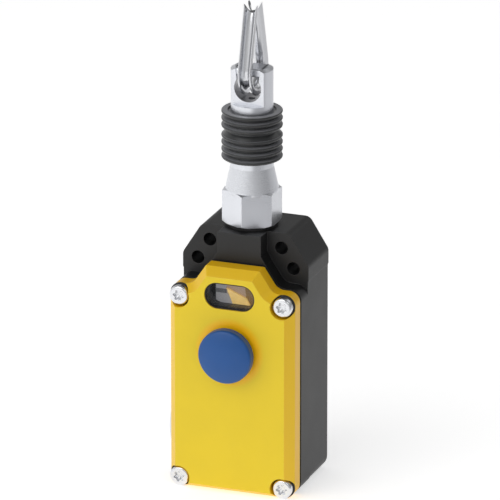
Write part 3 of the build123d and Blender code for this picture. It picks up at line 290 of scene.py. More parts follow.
@dataclass(frozen=True)
class Finish:
    """One surface finish of the switch.

    Lengths are in millimetres. Relief is the depth of the grain and shade is how far its colour wanders.
    Worn is the colour of rubbed edges. Turned is painted shade on slopes turned from the front,
    painted_top_shading painted light and shade on level faces, ring a painted shade round one place,
    and painted_glow painted light from parts that are no lamp.
    """

    name: str
    colour: Colour
    roughness: float
    metallic: float = 0.0
    grain: Grain = Grain.EVEN
    grain_size: float = 0.5
    relief: float = 0.01
    shade: float = 0.06
    shade_size: float = 14.0
    roughness_change: float = 0.08
    edge: float = 0.25
    worn: Colour | None = None
    worn_share: float = 0.3
    turned: Colour | None = None
    painted_top_shading: Colour | None = None
    ring: PaintedShadeRing | None = None
    alpha: float = 1.0
    painted_glow: float = 0.0

    def material(self) -> bpy.types.Material:
        """Makes the finish's material, or returns it if it was made before."""
        title = f"{self.name}_finish"
        known = bpy.data.materials.get(title)
        if known is not None:
            return known
        made = bpy.data.materials.new(title)
        made.use_nodes = True
        graph = Graph(made.node_tree)
        shader = made.node_tree.nodes["Principled BSDF"]
        self.wire(graph, shader)
        return made

    def wire(self, graph: Graph, shader: bpy.types.Node) -> None:
        """Feeds the shader's sockets.

        Args:
            graph: The material's tree.
            shader: Its Principled shader.
        """
        place = graph.node("ShaderNodeTexCoord").outputs["Object"]
        stretched = graph.node(
            "ShaderNodeVectorMath", {"operation": "MULTIPLY"}, {0: place, 1: self.grain.value}
        ).outputs[0]
        cloud = graph.noise(place, self.shade_size * MM)
        fine = graph.noise(stretched, self.grain_size * MM)
        edge = self.edge_mask(graph)
        dark = tuple(channel * (1 - self.shade) for channel in self.colour)
        light = tuple(min(1.0, channel * (1 + self.shade)) for channel in self.colour)
        colour = graph.mixed(cloud.ramped(0.3, 0.7) * 0.7 + fine * 0.3, dark, light)
        # Painted shade: slopes turned from the front take a darker or more orange colour.
        if self.turned is not None:
            colour = graph.mixed(self.painted_side_shade_mask(graph), colour, self.turned)
        # Painted light and shade on level faces.
        if self.painted_top_shading is not None:
            colour = graph.mixed(self.facing_up(graph), colour, self.painted_top_shading)
        # Painted shade round one place.
        if self.ring is not None:
            colour = graph.mixed(self.painted_shade_ring_mask(graph, place), colour, self.ring.colour)
        if self.worn is not None:
            rubbed = edge * fine.ramped(0.35, 0.6) * self.worn_share
            colour = graph.mixed(rubbed, colour, self.worn)
        graph.feed(shader.inputs["Base Color"], colour)
        wandering = (cloud - 0.5) * self.roughness_change + (fine - 0.5) * self.roughness_change
        graph.feed(shader.inputs["Roughness"], (wandering + self.roughness).at_least(0.02))
        graph.feed(shader.inputs["Metallic"], self.metallic)
        graph.feed(shader.inputs["Alpha"], self.alpha)
        # Painted light: the part glows though it is no lamp.
        if self.painted_glow:
            graph.feed(shader.inputs["Emission Color"], colour)
            graph.feed(shader.inputs["Emission Strength"], self.painted_glow)
        softened = graph.node("ShaderNodeBevel", {"samples": 4}, {"Radius": self.edge * MM}).outputs[0]
        bump = graph.node(
            "ShaderNodeBump", None, {"Distance": self.relief * MM, "Height": fine, "Normal": softened}
        )
        graph.feed(shader.inputs["Normal"], bump.outputs[0])

    def normal_part(self, graph: Graph, axis: int) -> Signal:
        """Returns how far the face looks along one axis, from -1 to 1."""
        straight = graph.node("ShaderNodeNewGeometry").outputs["Normal"]
        return graph.signal(graph.node("ShaderNodeSeparateXYZ", None, {0: straight}), axis)

    def painted_side_shade_mask(self, graph: Graph) -> Signal:
        """Finds the slopes beside the front that take painted shade: 0 on the front and 1 on faces well turned from
        it.
        """
        return (self.normal_part(graph, 1) + 1.0).ramped(0.05, 0.6)

    def facing_up(self, graph: Graph) -> Signal:
        """Finds the level faces that take painted light and shade: 0 on upright faces and 1 on level ones."""
        return self.normal_part(graph, 2).ramped(0.8, 0.97)

    def painted_shade_ring_mask(self, graph: Graph, place: bpy.types.NodeSocket) -> Signal:
        """Finds the round place that takes painted shade.

        Args:
            graph: The material's tree.
            place: The surface's place in metres, in the row frame.

        Returns:
            1 inside the ring's near radius, falling to 0 at its far one.
        """
        parts = graph.node("ShaderNodeSeparateXYZ", None, {0: place})
        centre = row_point(self.ring.x, 0, self.ring.z)
        across, up = graph.signal(parts, 0) - centre.x, graph.signal(parts, 2) - centre.z
        square = across * across + up * up
        away = square.maths("SQRT", square)
        return 1.0 - away.ramped(self.ring.near * MM, self.ring.far * MM)

    def edge_mask(self, graph: Graph) -> Signal:
        """Finds the convex and hollow edges.

        Args:
            graph: The material's tree.

        Returns:
            1 near an edge and 0 on open surface.
        """
        wide = graph.node("ShaderNodeBevel", {"samples": 4}, {"Radius": 2 * self.edge * MM}).outputs[0]
        straight = graph.node("ShaderNodeNewGeometry").outputs["Normal"]
        along = graph.node("ShaderNodeVectorMath", {"operation": "DOT_PRODUCT"}, {0: wide, 1: straight})
        return (1.0 - graph.signal(along, "Value")).ramped(0.01, 0.12)


# The turned colour is painted shade: a darker black on the sides and top, which face away from the front.
HOUSING_PAINT = Finish(
    "housing_powder_coat", linear(22, 22, 23), 0.47, grain_size=0.45, relief=0.02, shade=0.1,
    edge=0.35, worn=linear(70, 71, 72), turned=linear(12, 12, 13),
)
# The turned colour is painted shade, a deeper orange on slopes turned from the front. The ring is painted shade and
# reflected glow, a deeper orange round the reset button where its cap's shadow falls.
COVER_PAINT = Finish(
    "cover_powder_coat", linear(229, 199, 17), 0.4, grain_size=0.5, relief=0.012, shade=0.02,
    edge=0.4, worn=linear(246, 218, 90), turned=linear(241, 188, 2),
    ring=PaintedShadeRing(0, 59.5, 11.5, 15.0, linear(255, 192, 0)),
)
BLACK_RUBBER = Finish("seal_rubber", linear(30, 30, 31), 0.62, grain_size=0.3, relief=0.015, shade=0.15)
# The painted top shading is painted light: level faces are lighter, as if lit from above.
BELLOWS_RUBBER = Finish(
    "bellows_rubber", linear(47, 48, 49), 0.31, grain=Grain.WOUND, grain_size=0.5, relief=0.012, shade=0.12,
    shade_size=6.0, edge=0.15, painted_top_shading=linear(128, 129, 133),
)
ZINC_STEEL = Finish(
    "zinc_plated_steel", linear(226, 227, 230), 0.24, metallic=1.0, grain_size=0.6, relief=0.0006, shade=0.04,
    edge=0.15,
)
BRIGHT_STEEL = Finish(
    "ground_steel", linear(205, 207, 210), 0.2, metallic=1.0, grain=Grain.TURNED, grain_size=0.12,
    relief=0.002, shade=0.04, edge=0.15,
)
SPRING_STEEL = Finish("spring_steel", linear(150, 152, 156), 0.28, metallic=1.0, grain_size=0.4, edge=0.1)
SATIN_METAL = Finish(
    "satin_nickel", linear(222, 224, 229), 0.29, metallic=0.9, grain=Grain.TURNED, grain_size=0.12,
    relief=0.003, shade=0.03, edge=0.3,
)
# The painted top shading is painted shade on level faces, and the ring is painted shade that darkens the wall of
# the eye's round hole.
EYE_METAL = replace(
    SATIN_METAL, name="bored_nickel", edge=0.12, painted_top_shading=linear(196, 198, 203),
    ring=PaintedShadeRing(0, 162.3, 5.6, 5.7, linear(160, 160, 163)),
)
BRIGHT_SHEET = Finish(
    "bright_sheet", linear(215, 216, 219), 0.2, metallic=1.0, grain=Grain.ROLLED, grain_size=0.25,
    relief=0.0004, shade=0.04, edge=0.1,
)
BRONZE = Finish("sintered_bronze", linear(176, 137, 84), 0.42, metallic=1.0, grain_size=0.2, relief=0.01)
BRASS_PLATE = Finish("brass_plate", linear(214, 190, 120), 0.3, metallic=1.0, grain_size=0.4, relief=0.004)
CLEAR_LENS = Finish(
    "clear_lens", linear(95, 97, 100), 0.05, alpha=0.06, grain_size=3.0, relief=0.001, shade=0.01,
    roughness_change=0.02, edge=0.2,
)
GLOSS_BLACK = Finish(
    "gloss_black", linear(7, 6, 6), 0.3, grain_size=0.6, relief=0.002, shade=0.1, edge=0.2
)
# The painted glow on the dial and its prints is painted light that brightens them in the shaded recess behind the
# window.
BROWN_PRINT = Finish(
    "brown_print", linear(172, 148, 128), 0.35, grain_size=0.25, relief=0.004, shade=0.08, painted_glow=0.35
)
# Painted shadow: the darker brown at the window's right end.
PAINTED_SHADOW = Finish("shade_print", linear(134, 106, 62), 0.35, grain_size=0.25, relief=0.004, painted_glow=0.35)
DARK_PRINT = Finish("dark_print", linear(93, 94, 97), 0.4, grain_size=0.25, relief=0.004, painted_glow=0.4)
DIAL_PAINT = Finish("dial_paint", linear(158, 158, 162), 0.4, grain_size=0.25, relief=0.006, painted_glow=0.4)
BLACK_PLASTIC = Finish("black_plastic", linear(28, 28, 30), 0.4, grain_size=0.25, relief=0.008, shade=0.1)
WHITE_PLASTIC = Finish("white_plastic", linear(222, 220, 212), 0.4, grain_size=0.25, relief=0.006)
RED_PLASTIC = Finish("red_plastic", linear(176, 38, 32), 0.4, grain_size=0.25, relief=0.006)
CONTACT_PLASTIC = Finish("contact_plastic", linear(60, 64, 66), 0.45, grain_size=0.25, relief=0.008)
# The painted glow is painted light on the pointer.
AMBER_PLASTIC = Finish(
    "amber_plastic", linear(236, 206, 128), 0.25, grain_size=0.3, relief=0.003, shade=0.12, shade_size=4.0,
    alpha=0.82, painted_glow=0.42,
)
BLUE_PLASTIC = Finish(
    "blue_plastic", linear(6, 75, 142), 0.36, grain_size=0.3, relief=0.006, shade=0.04, edge=0.3
)


def dress(nodes: Nodes, finish: Finish, *names: str) -> None:
    """Gives CAD nodes a finish.

    Args:
        nodes: The frame's nodes.
        finish: The finish they take.
        *names: The nodes' names.
    """
    for name in names:
        mesh = nodes[name].data
        if not mesh.materials:
            mesh.materials.append(None)
        for place in nodes[name].material_slots:
            place.link = "DATA"
            place.material = finish.material()
        LOG.info("dressed %s in %s", name, finish.name)


@dataclass(frozen=True)
class Piece:
    """What a piece of the scene stands for and moves with."""

    name: str
    body: str
    slot: str
    finish: Finish
    stands_for: tuple[str, ...] = ()
    sharp_degrees: float = 35.0

    def add(self, mesh: bpy.types.Mesh) -> bpy.types.Object:
        """Links a finished mesh as this piece.

        Args:
            mesh: The piece's mesh, in metres in the row frame.

        Returns:
            The new object.
        """
        made = self.link(mesh)
        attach(made, self.body)
        return made

    def link(self, mesh: bpy.types.Mesh) -> bpy.types.Object:
        """Links a finished mesh without giving it a body.

        Args:
            mesh: The piece's mesh, in metres in the row frame.

        Returns:
            The new object.
        """
        mesh.name = self.name
        mesh.materials.clear()
        mesh.materials.append(self.finish.material())
        mesh.shade_smooth()
        mesh.set_sharp_from_angle(angle=math.radians(self.sharp_degrees))
        made = bpy.data.objects.new(self.name, mesh)
        bpy.context.scene.collection.objects.link(made)
        if self.stands_for:
            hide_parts(*self.stands_for)
        LOG.info("built %s with %d faces on %s", self.name, len(mesh.polygons), self.body)
        return made


def clean_mesh(form: bmesh.types.BMesh, name: str) -> bpy.types.Mesh:
    """Turns a bmesh into a mesh with its doubles merged and its faces outwards.

    Args:
        form: The bmesh, which is freed.
        name: The mesh's name.

    Returns:
        The mesh.
    """
    bmesh.ops.remove_doubles(form, verts=form.verts, dist=MERGE_DISTANCE)
    bmesh.ops.recalc_face_normals(form, faces=form.faces)
    mesh = bpy.data.meshes.new(name)
    form.to_mesh(mesh)
    form.free()
    return mesh


def lathe(form: bmesh.types.BMesh, outline: Sequence[Pair], place: Placing, segments: int) -> None:
    """Turns an outline about an axis.

    Args:
        form: The bmesh that takes the faces.
        outline: Closed outline as (radius, height).
        place: Gives the row point for two offsets from the axis and a height along it.
        segments: Faces round the axis.
    """
    rings = []
    for step in range(segments):
        angle = 2 * math.pi * step / segments
        ring = [
            form.verts.new(place(radius * math.cos(angle), radius * math.sin(angle), height))
            for radius, height in outline
        ]
        rings.append(ring)
    skin(form, rings, closed=True)


def skin(form: bmesh.types.BMesh, rings: Rings, closed: bool) -> None:
    """Joins rings of equal length with faces.

    Args:
        form: The bmesh that takes the faces.
        rings: The rings, each a closed loop.
        closed: Whether the last ring joins the first.
    """
    count = len(rings)
    for index in range(count if closed else count - 1):
        first, second = rings[index], rings[(index + 1) % count]
        for corner in range(len(first)):
            after = (corner + 1) % len(first)
            corners = [first[corner], first[after], second[after], second[corner]]
            if len({tuple(vertex.co) for vertex in corners}) > 2:
                form.faces.new(corners)


def tube(form: bmesh.types.BMesh, rings: Rings) -> None:
    """Joins rings with faces and closes both ends.

    Args:
        form: The bmesh that takes the faces.
        rings: The rings, each a closed loop.
    """
    skin(form, rings, closed=False)
    for ring in (rings[0], rings[-1]):
        form.faces.new(ring)


def prism(form: bmesh.types.BMesh, outline: Sequence[Pair], ends: Pair, place: Placing) -> None:
    """Draws an outline out into a prism.

    Args:
        form: The bmesh that takes the faces.
        outline: Closed outline across the prism.
        ends: Where the prism starts and ends.
        place: Gives the row point for two coordinates of the outline and a place along the prism.
    """
    tube(form, [[form.verts.new(place(a, b, along)) for a, b in outline] for along in ends])


def arc(centre: Pair, radius: float, start: float, end: float, steps: int) -> list[Pair]:
    """Points on an arc.

    Args:
        centre: Its centre.
        radius: Its radius.
        start: First angle in degrees.
        end: Last angle in degrees.
        steps: Number of spans.

    Returns:
        The points, both ends included.
    """
    angles = [math.radians(start + (end - start) * step / steps) for step in range(steps + 1)]
    return [(centre[0] + radius * math.cos(a), centre[1] + radius * math.sin(a)) for a in angles]


class GeometryTree(Graph):
    """A geometry node tree with named inputs, run once on a new object."""

    def __init__(self, name: str, sizes: dict[str, float]) -> None:
        """Makes the tree.

        Args:
            name: The tree's name.
            sizes: Its named inputs and their values.
        """
        super().__init__(bpy.data.node_groups.new(name, "GeometryNodeTree"))
        self.sizes = sizes
        self.tree.interface.new_socket("Geometry", in_out="INPUT", socket_type="NodeSocketGeometry")
        self.identifiers = {}
        for label in sizes:
            item = self.tree.interface.new_socket(label, in_out="INPUT", socket_type="NodeSocketFloat")
            self.identifiers[label] = item.identifier
        self.tree.interface.new_socket("Geometry", in_out="OUTPUT", socket_type="NodeSocketGeometry")
        self.entry = self.node("NodeGroupInput")

    def size(self, label: str) -> Signal:
        """Returns the named input as a signal."""
        return self.signal(self.entry, label)

    def mesh(self, geometry: bpy.types.NodeSocket, finish: Finish) -> bpy.types.Mesh:
        """Ends the tree, runs it and returns the plain mesh.

        Args:
            geometry: The last geometry of the tree.
            finish: The finish set on it.

        Returns:
            The result, as a mesh of its own.
        """
        realized = self.node("GeometryNodeRealizeInstances", None, {"Geometry": geometry})
        painted = self.node(
            "GeometryNodeSetMaterial", None, {"Geometry": realized.outputs[0], "Material": finish.material()}
        )
        self.node("NodeGroupOutput", None, {"Geometry": painted.outputs[0]})
        host = bpy.data.objects.new(self.tree.name, bpy.data.meshes.new(self.tree.name))
        bpy.context.scene.collection.objects.link(host)
        modifier = host.modifiers.new(self.tree.name, "NODES")
        modifier.node_group = self.tree
        for label, value in self.sizes.items():
            modifier[self.identifiers[label]] = float(value)
        view = bpy.context.evaluated_depsgraph_get()
        result = bpy.data.meshes.new_from_object(host.evaluated_get(view))
        host.modifiers.remove(modifier)
        bpy.data.objects.remove(host)
        return result

    def cleaned(self, geometry: bpy.types.NodeSocket, finish: Finish) -> bpy.types.Mesh:
        """Ends and runs the tree like mesh, then merges doubles and turns the faces outwards.

        Args:
            geometry: The last geometry of the tree.
            finish: The finish set on it.

        Returns:
            The result, as a mesh of its own.
        """
        form = bmesh.new()
        form.from_mesh(self.mesh(geometry, finish))
        return clean_mesh(form, self.tree.name)


class Way(Enum):
    """Direction that a spring runs in, as its turn about X and its unit vector."""

    REARWARDS = ((-math.pi / 2, 0.0, 0.0), (0.0, 1.0, 0.0))
    UPWARDS = ((0.0, 0.0, 0.0), (0.0, 0.0, 1.0))


@dataclass(frozen=True)
class Spring:
    """Round-wire spring between the bodies at its foot and its head."""

    node: str
    foot: Point
    way: Way
    radius: float
    wire: float
    length: float
    turns: float
    foot_body: str
    head_body: str
    steps_per_turn: int = 40
    wire_sides: int = 14

    def build(self) -> None:
        """Winds the wire with geometry nodes and links it in place, without a body."""
        name = f"{self.node}_coil"
        tilt, ahead = self.way.value
        foot = row_point(*self.foot)
        tree = GeometryTree(name, {
            "Coil Radius": self.radius * MM, "Wire Radius": self.wire / 2 * MM,
            "Rise": (self.length - self.wire) * MM, "Turns": self.turns,
        })
        spiral = tree.node("GeometryNodeCurveSpiral", None, {
            "Resolution": self.steps_per_turn, "Rotations": tree.size("Turns"), "Height": tree.size("Rise"),
            "Start Radius": tree.size("Coil Radius"), "End Radius": tree.size("Coil Radius"),
        })
        ring = tree.node("GeometryNodeCurvePrimitiveCircle", None, {
            "Resolution": self.wire_sides, "Radius": tree.size("Wire Radius"),
        })
        wound = tree.node("GeometryNodeCurveToMesh", None, {
            "Curve": spiral.outputs[0], "Profile Curve": ring.outputs[0], "Fill Caps": True,
        })
        placed = tree.node("GeometryNodeTransform", None, {
            "Geometry": wound.outputs[0], "Rotation": tilt,
            "Translation": foot + Vector(ahead) * (self.wire / 2 * MM),
        })
        piece = Piece(name, self.foot_body, "spring_steel", SPRING_STEEL, (self.node,), 60.0)
        made = piece.link(tree.cleaned(placed.outputs[0], SPRING_STEEL))
        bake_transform(made)


@dataclass
class Studio:
    """Floor, soft lights and the camera at the photograph's angle."""

    azimuth: float = 20.4
    elevation: float = 19.45
    pixels_per_mm: float = 2.537
    focal_pixels: float = 8000.0
    frame_pixels: float = 500.0
    sensor_mm: float = 36.0
    target: Point = (-0.00087, -0.0165, 0.0028)
    surround: float = 0.5
    left_gain: float = 0.45
    right_loss: float = 0.15
    front_gain: float = 0.15
    rear_loss: float = 0.15
    overhead: float = 0.22
    overhead_rise: Pair = (0.25, 0.9)
    floor_size: float = 6.0
    floor_gap: float = 0.0002
    floor_bright: Colour = (0.9, 0.9, 0.9)
    floor_dim: Colour = (0.34, 0.34, 0.35)
    floor_roughness: float = 0.9
    floor_glow: float = 0.6
    fade_ahead: Pair = (0.08, 0.3)
    fade_across: Pair = (-0.1, 0.12)
    fade_left_share: float = 0.05
    fade_right: Pair = (0.14, 0.3)
    fade_right_share: float = 0.55

    def build(self) -> None:
        """Makes the camera, the lights and the floor."""
        self.camera()
        self.world()
        self.floor()
        self.softbox("key_softbox", (-0.5, -1.1, 1.1), 1.4, 9.0)
        self.softbox("fill_softbox", (0.9, -0.8, 1.0), 0.7, 1.6)
        self.softbox("rear_softbox", (0.7, 1.0, 0.9), 0.8, 1.2)
        bpy.context.scene.view_settings.view_transform = "Standard"

    def direction(self) -> Vector:
        """Finds where the camera looks from.

        Returns:
            The unit vector from the object to the camera.
        """
        turn, rise = math.radians(self.azimuth), math.radians(self.elevation)
        flat = math.cos(rise)
        return Vector((math.sin(turn) * flat, -math.cos(turn) * flat, math.sin(rise)))

    def camera(self) -> None:
        """Makes the long-lens camera."""
        data = bpy.data.cameras.new("camera")
        data.sensor_width = self.sensor_mm
        data.lens = self.focal_pixels * self.sensor_mm / self.frame_pixels
        data.clip_start, data.clip_end = 0.1, 50.0
        made = bpy.data.objects.new("camera", data)
        bpy.context.scene.collection.objects.link(made)
        back = self.direction()
        made.location = Vector(self.target) + back * (self.focal_pixels / self.pixels_per_mm * MM)
        made.rotation_mode = "QUATERNION"
        made.rotation_quaternion = (-back).to_track_quat("-Z", "Y")
        bpy.context.scene.camera = made

    def world(self) -> None:
        """Makes the soft surroundings, brightest at the left, then in front, and dim overhead."""
        world = bpy.data.worlds.new("studio")
        world.use_nodes = True
        bpy.context.scene.world = world
        graph = Graph(world.node_tree)
        way = graph.node("ShaderNodeTexCoord").outputs["Generated"]
        parts = graph.node("ShaderNodeSeparateXYZ", None, {0: way})
        x, y, z = (graph.signal(parts, index) for index in range(3))
        left, right = (0.0 - x).at_least(0.0), x.at_least(0.0)
        front, rear = (0.0 - y).at_least(0.0), y.at_least(0.0)
        beside = self.surround + left * self.left_gain - right * self.right_loss
        around = beside + front * self.front_gain - rear * self.rear_loss
        up = z.at_least(0.0).ramped(*self.overhead_rise)
        level = around * (1.0 - up) + up * self.overhead
        background = world.node_tree.nodes["Background"]
        graph.feed(background.inputs["Color"], (1.0, 1.0, 1.0, 1.0))
        graph.feed(background.inputs["Strength"], level)

    def softbox(self, name: str, place: Point, size: float, power: float) -> None:
        """Makes one square area light that faces the object.

        Args:
            name: The light's name.
            place: Where it stands, in metres.
            size: Length of its side in metres.
            power: Its power in watts.
        """
        data = bpy.data.lights.new(name, "AREA")
        data.shape, data.size, data.energy = "SQUARE", size, power
        made = bpy.data.objects.new(name, data)
        bpy.context.scene.collection.objects.link(made)
        made.location = place
        made.rotation_mode = "QUATERNION"
        made.rotation_quaternion = (Vector(self.target) - Vector(place)).to_track_quat("-Z", "Y")

    def floor(self) -> None:
        """Makes the pale floor at the height of the housing's underside. Its colour and glow are painted light:
        bright behind and left, with a painted falloff towards the front right.
        """
        form = bmesh.new()
        bmesh.ops.create_grid(form, x_segments=1, y_segments=1, size=self.floor_size)
        mesh = bpy.data.meshes.new("floor")
        form.to_mesh(mesh)
        form.free()
        mesh.transform(self.floor_place())
        material = bpy.data.materials.new("pale_floor")
        material.use_nodes = True
        graph = Graph(material.node_tree)
        shader = material.node_tree.nodes["Principled BSDF"]
        lit = graph.mixed(self.falloff(graph), self.floor_bright, self.floor_dim)
        graph.feed(shader.inputs["Base Color"], lit)
        graph.feed(shader.inputs["Roughness"], self.floor_roughness)
        graph.feed(shader.inputs["Emission Color"], lit)
        graph.feed(shader.inputs["Emission Strength"], self.floor_glow)
        mesh.materials.append(material)
        made = bpy.data.objects.new("floor", mesh)
        bpy.context.scene.collection.objects.link(made)

    def falloff(self, graph: Graph) -> Signal:
        """Finds the painted falloff of the floor's light towards the front right, outside the picture.

        Args:
            graph: The floor material's tree.

        Returns:
            0 where the floor is bright and 1 where it is dimmest.
        """
        place = graph.node("ShaderNodeTexCoord").outputs["Object"]
        parts = graph.node("ShaderNodeSeparateXYZ", None, {0: place})
        x, y = graph.signal(parts, 0), graph.signal(parts, 1)
        turn = math.radians(self.azimuth)
        ahead = x * math.sin(turn) - y * math.cos(turn)
        aside = x * math.cos(turn) + y * math.sin(turn)
        share = self.fade_left_share
        front = ahead.ramped(*self.fade_ahead) * (aside.ramped(*self.fade_across) * (1 - share) + share)
        right = aside.ramped(*self.fade_right) * self.fade_right_share
        return front + right - front * right

    def floor_place(self) -> Matrix:
        """Returns the matrix that lowers the floor to the housing's underside."""
        return Matrix.Translation((0.0, 0.0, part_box("housing")[0].z - self.floor_gap))


@dataclass
class Enclosure:
    """Housing, cover, their seal and screws, and what fills the entries."""

    screw_x: float = 21.6
    screw_low: float = 4.45
    screw_high: float = 80.4
    head_front: float = -25.1
    head_radius: float = 4.0
    head_height: float = 3.1
    head_round: float = 1.1
    shank_radius: float = 2.0
    shank_end: float = -7.5
    socket_radius: float = 1.9
    lobe_depth: float = 0.38
    socket_depth: float = 1.7
    socket_cone: float = 0.4
    socket_lip: float = 0.12
    floor_round: float = 0.1
    floor_share: float = 0.8
    mouth_share: float = 1.06
    point_height: float = 0.6
    point_width: float = 0.5
    corner_steps: int = 6
    around: int = 72

    def build(self, nodes: Nodes) -> None:
        """Dresses the CAD nodes and builds the cover screws.

        Args:
            nodes: The frame's nodes.
        """
        dress(nodes, HOUSING_PAINT, "housing")
        dress(nodes, COVER_PAINT, "cover")
        dress(nodes, BLACK_RUBBER, "cover_gasket", "cover_screw_washers", "window_seal")
        dress(nodes, BLACK_RUBBER, "neck_seal", "plug_seal")
        dress(nodes, SATIN_METAL, "blanking_plug")
        self.build_screws()

    def socket_edge(self, angle: float) -> float:
        """Radius of the six-lobed socket at an angle in radians."""
        return self.socket_radius + self.lobe_depth * math.cos(6 * angle)

    def head_rings(self) -> list[tuple[float, float, bool]]:
        """Rings of the head from the socket's floor to the shank's end.

        Returns:
            Radius, depth behind the head's front, and whether the ring follows the socket, for each ring.
        """
        edge = [
            (self.head_radius - self.head_round + across, self.head_round - up, False)
            for across, up in arc((0.0, 0.0), self.head_round, 90, 0, self.corner_steps)
        ]
        end = self.shank_end - self.head_front
        return [
            (0.0, self.socket_depth + self.socket_cone, False),
            (self.floor_share, self.socket_depth, True),
            (1.0, self.socket_depth - self.floor_round, True),
            (1.0, self.socket_lip, True),
            (self.mouth_share, 0.0, True),
            *edge,
            (self.head_radius, self.head_height, False),
            (self.shank_radius, self.head_height, False),
            (self.shank_radius, end - self.point_height, False),
            (self.shank_radius - self.point_width, end, False),
            (0.0, end, False),
        ]

    def screw_template(self) -> bpy.types.Object:
        """Makes one screw, turned about Y.

        Returns:
            The screw with its head's front at the origin.
        """
        form = bmesh.new()
        rings = []
        for radius, depth, follows in self.head_rings():
            ring = []
            for step in range(self.around):
                angle = 2 * math.pi * step / self.around
                reach = radius * self.socket_edge(angle) if follows else radius
                corner = Vector((reach * math.cos(angle), depth, reach * math.sin(angle)))
                ring.append(form.verts.new(corner * MM))
            rings.append(ring)
        skin(form, rings, closed=False)
        mesh = clean_mesh(form, "screw_template")
        return bpy.data.objects.new("screw_template", mesh)

    def build_screws(self) -> None:
        """Sets the screw at its four places with geometry nodes."""
        template = self.screw_template()
        bpy.context.scene.collection.objects.link(template)
        tree = GeometryTree("cover_screw_places", {
            "Half Width": self.screw_x * MM,
            "Height": (self.screw_high - self.screw_low) * MM,
        })
        grid = tree.node("GeometryNodeMeshGrid", None, {
            "Size X": tree.size("Half Width") * 2.0,
            "Size Y": tree.size("Height"),
            "Vertices X": 2,
            "Vertices Y": 2,
        })
        middle = row_point(0, self.head_front, (self.screw_high + self.screw_low) / 2)
        stood = tree.node("GeometryNodeTransform", None, {
            "Geometry": grid.outputs["Mesh"], "Rotation": (math.pi / 2, 0.0, 0.0), "Translation": middle,
        })
        info = tree.node("GeometryNodeObjectInfo", None, {"Object": template})
        turned = tree.node(
            "FunctionNodeRandomValue", {"data_type": "FLOAT"}, {2: 0.0, 3: math.pi / 3, "Seed": 4}
        )
        angle = tree.node("ShaderNodeCombineXYZ", None, {1: turned.outputs[1]})
        placed = tree.node("GeometryNodeInstanceOnPoints", None, {
            "Points": stood.outputs[0], "Instance": info.outputs["Geometry"], "Rotation": angle.outputs[0],
        })
        mesh = tree.mesh(placed.outputs[0], ZINC_STEEL)
        bpy.data.objects.remove(template)
        Piece("cover_screw_set", "enclosure", "zinc_steel", ZINC_STEEL, ("cover_screws",), 28.0).add(mesh)


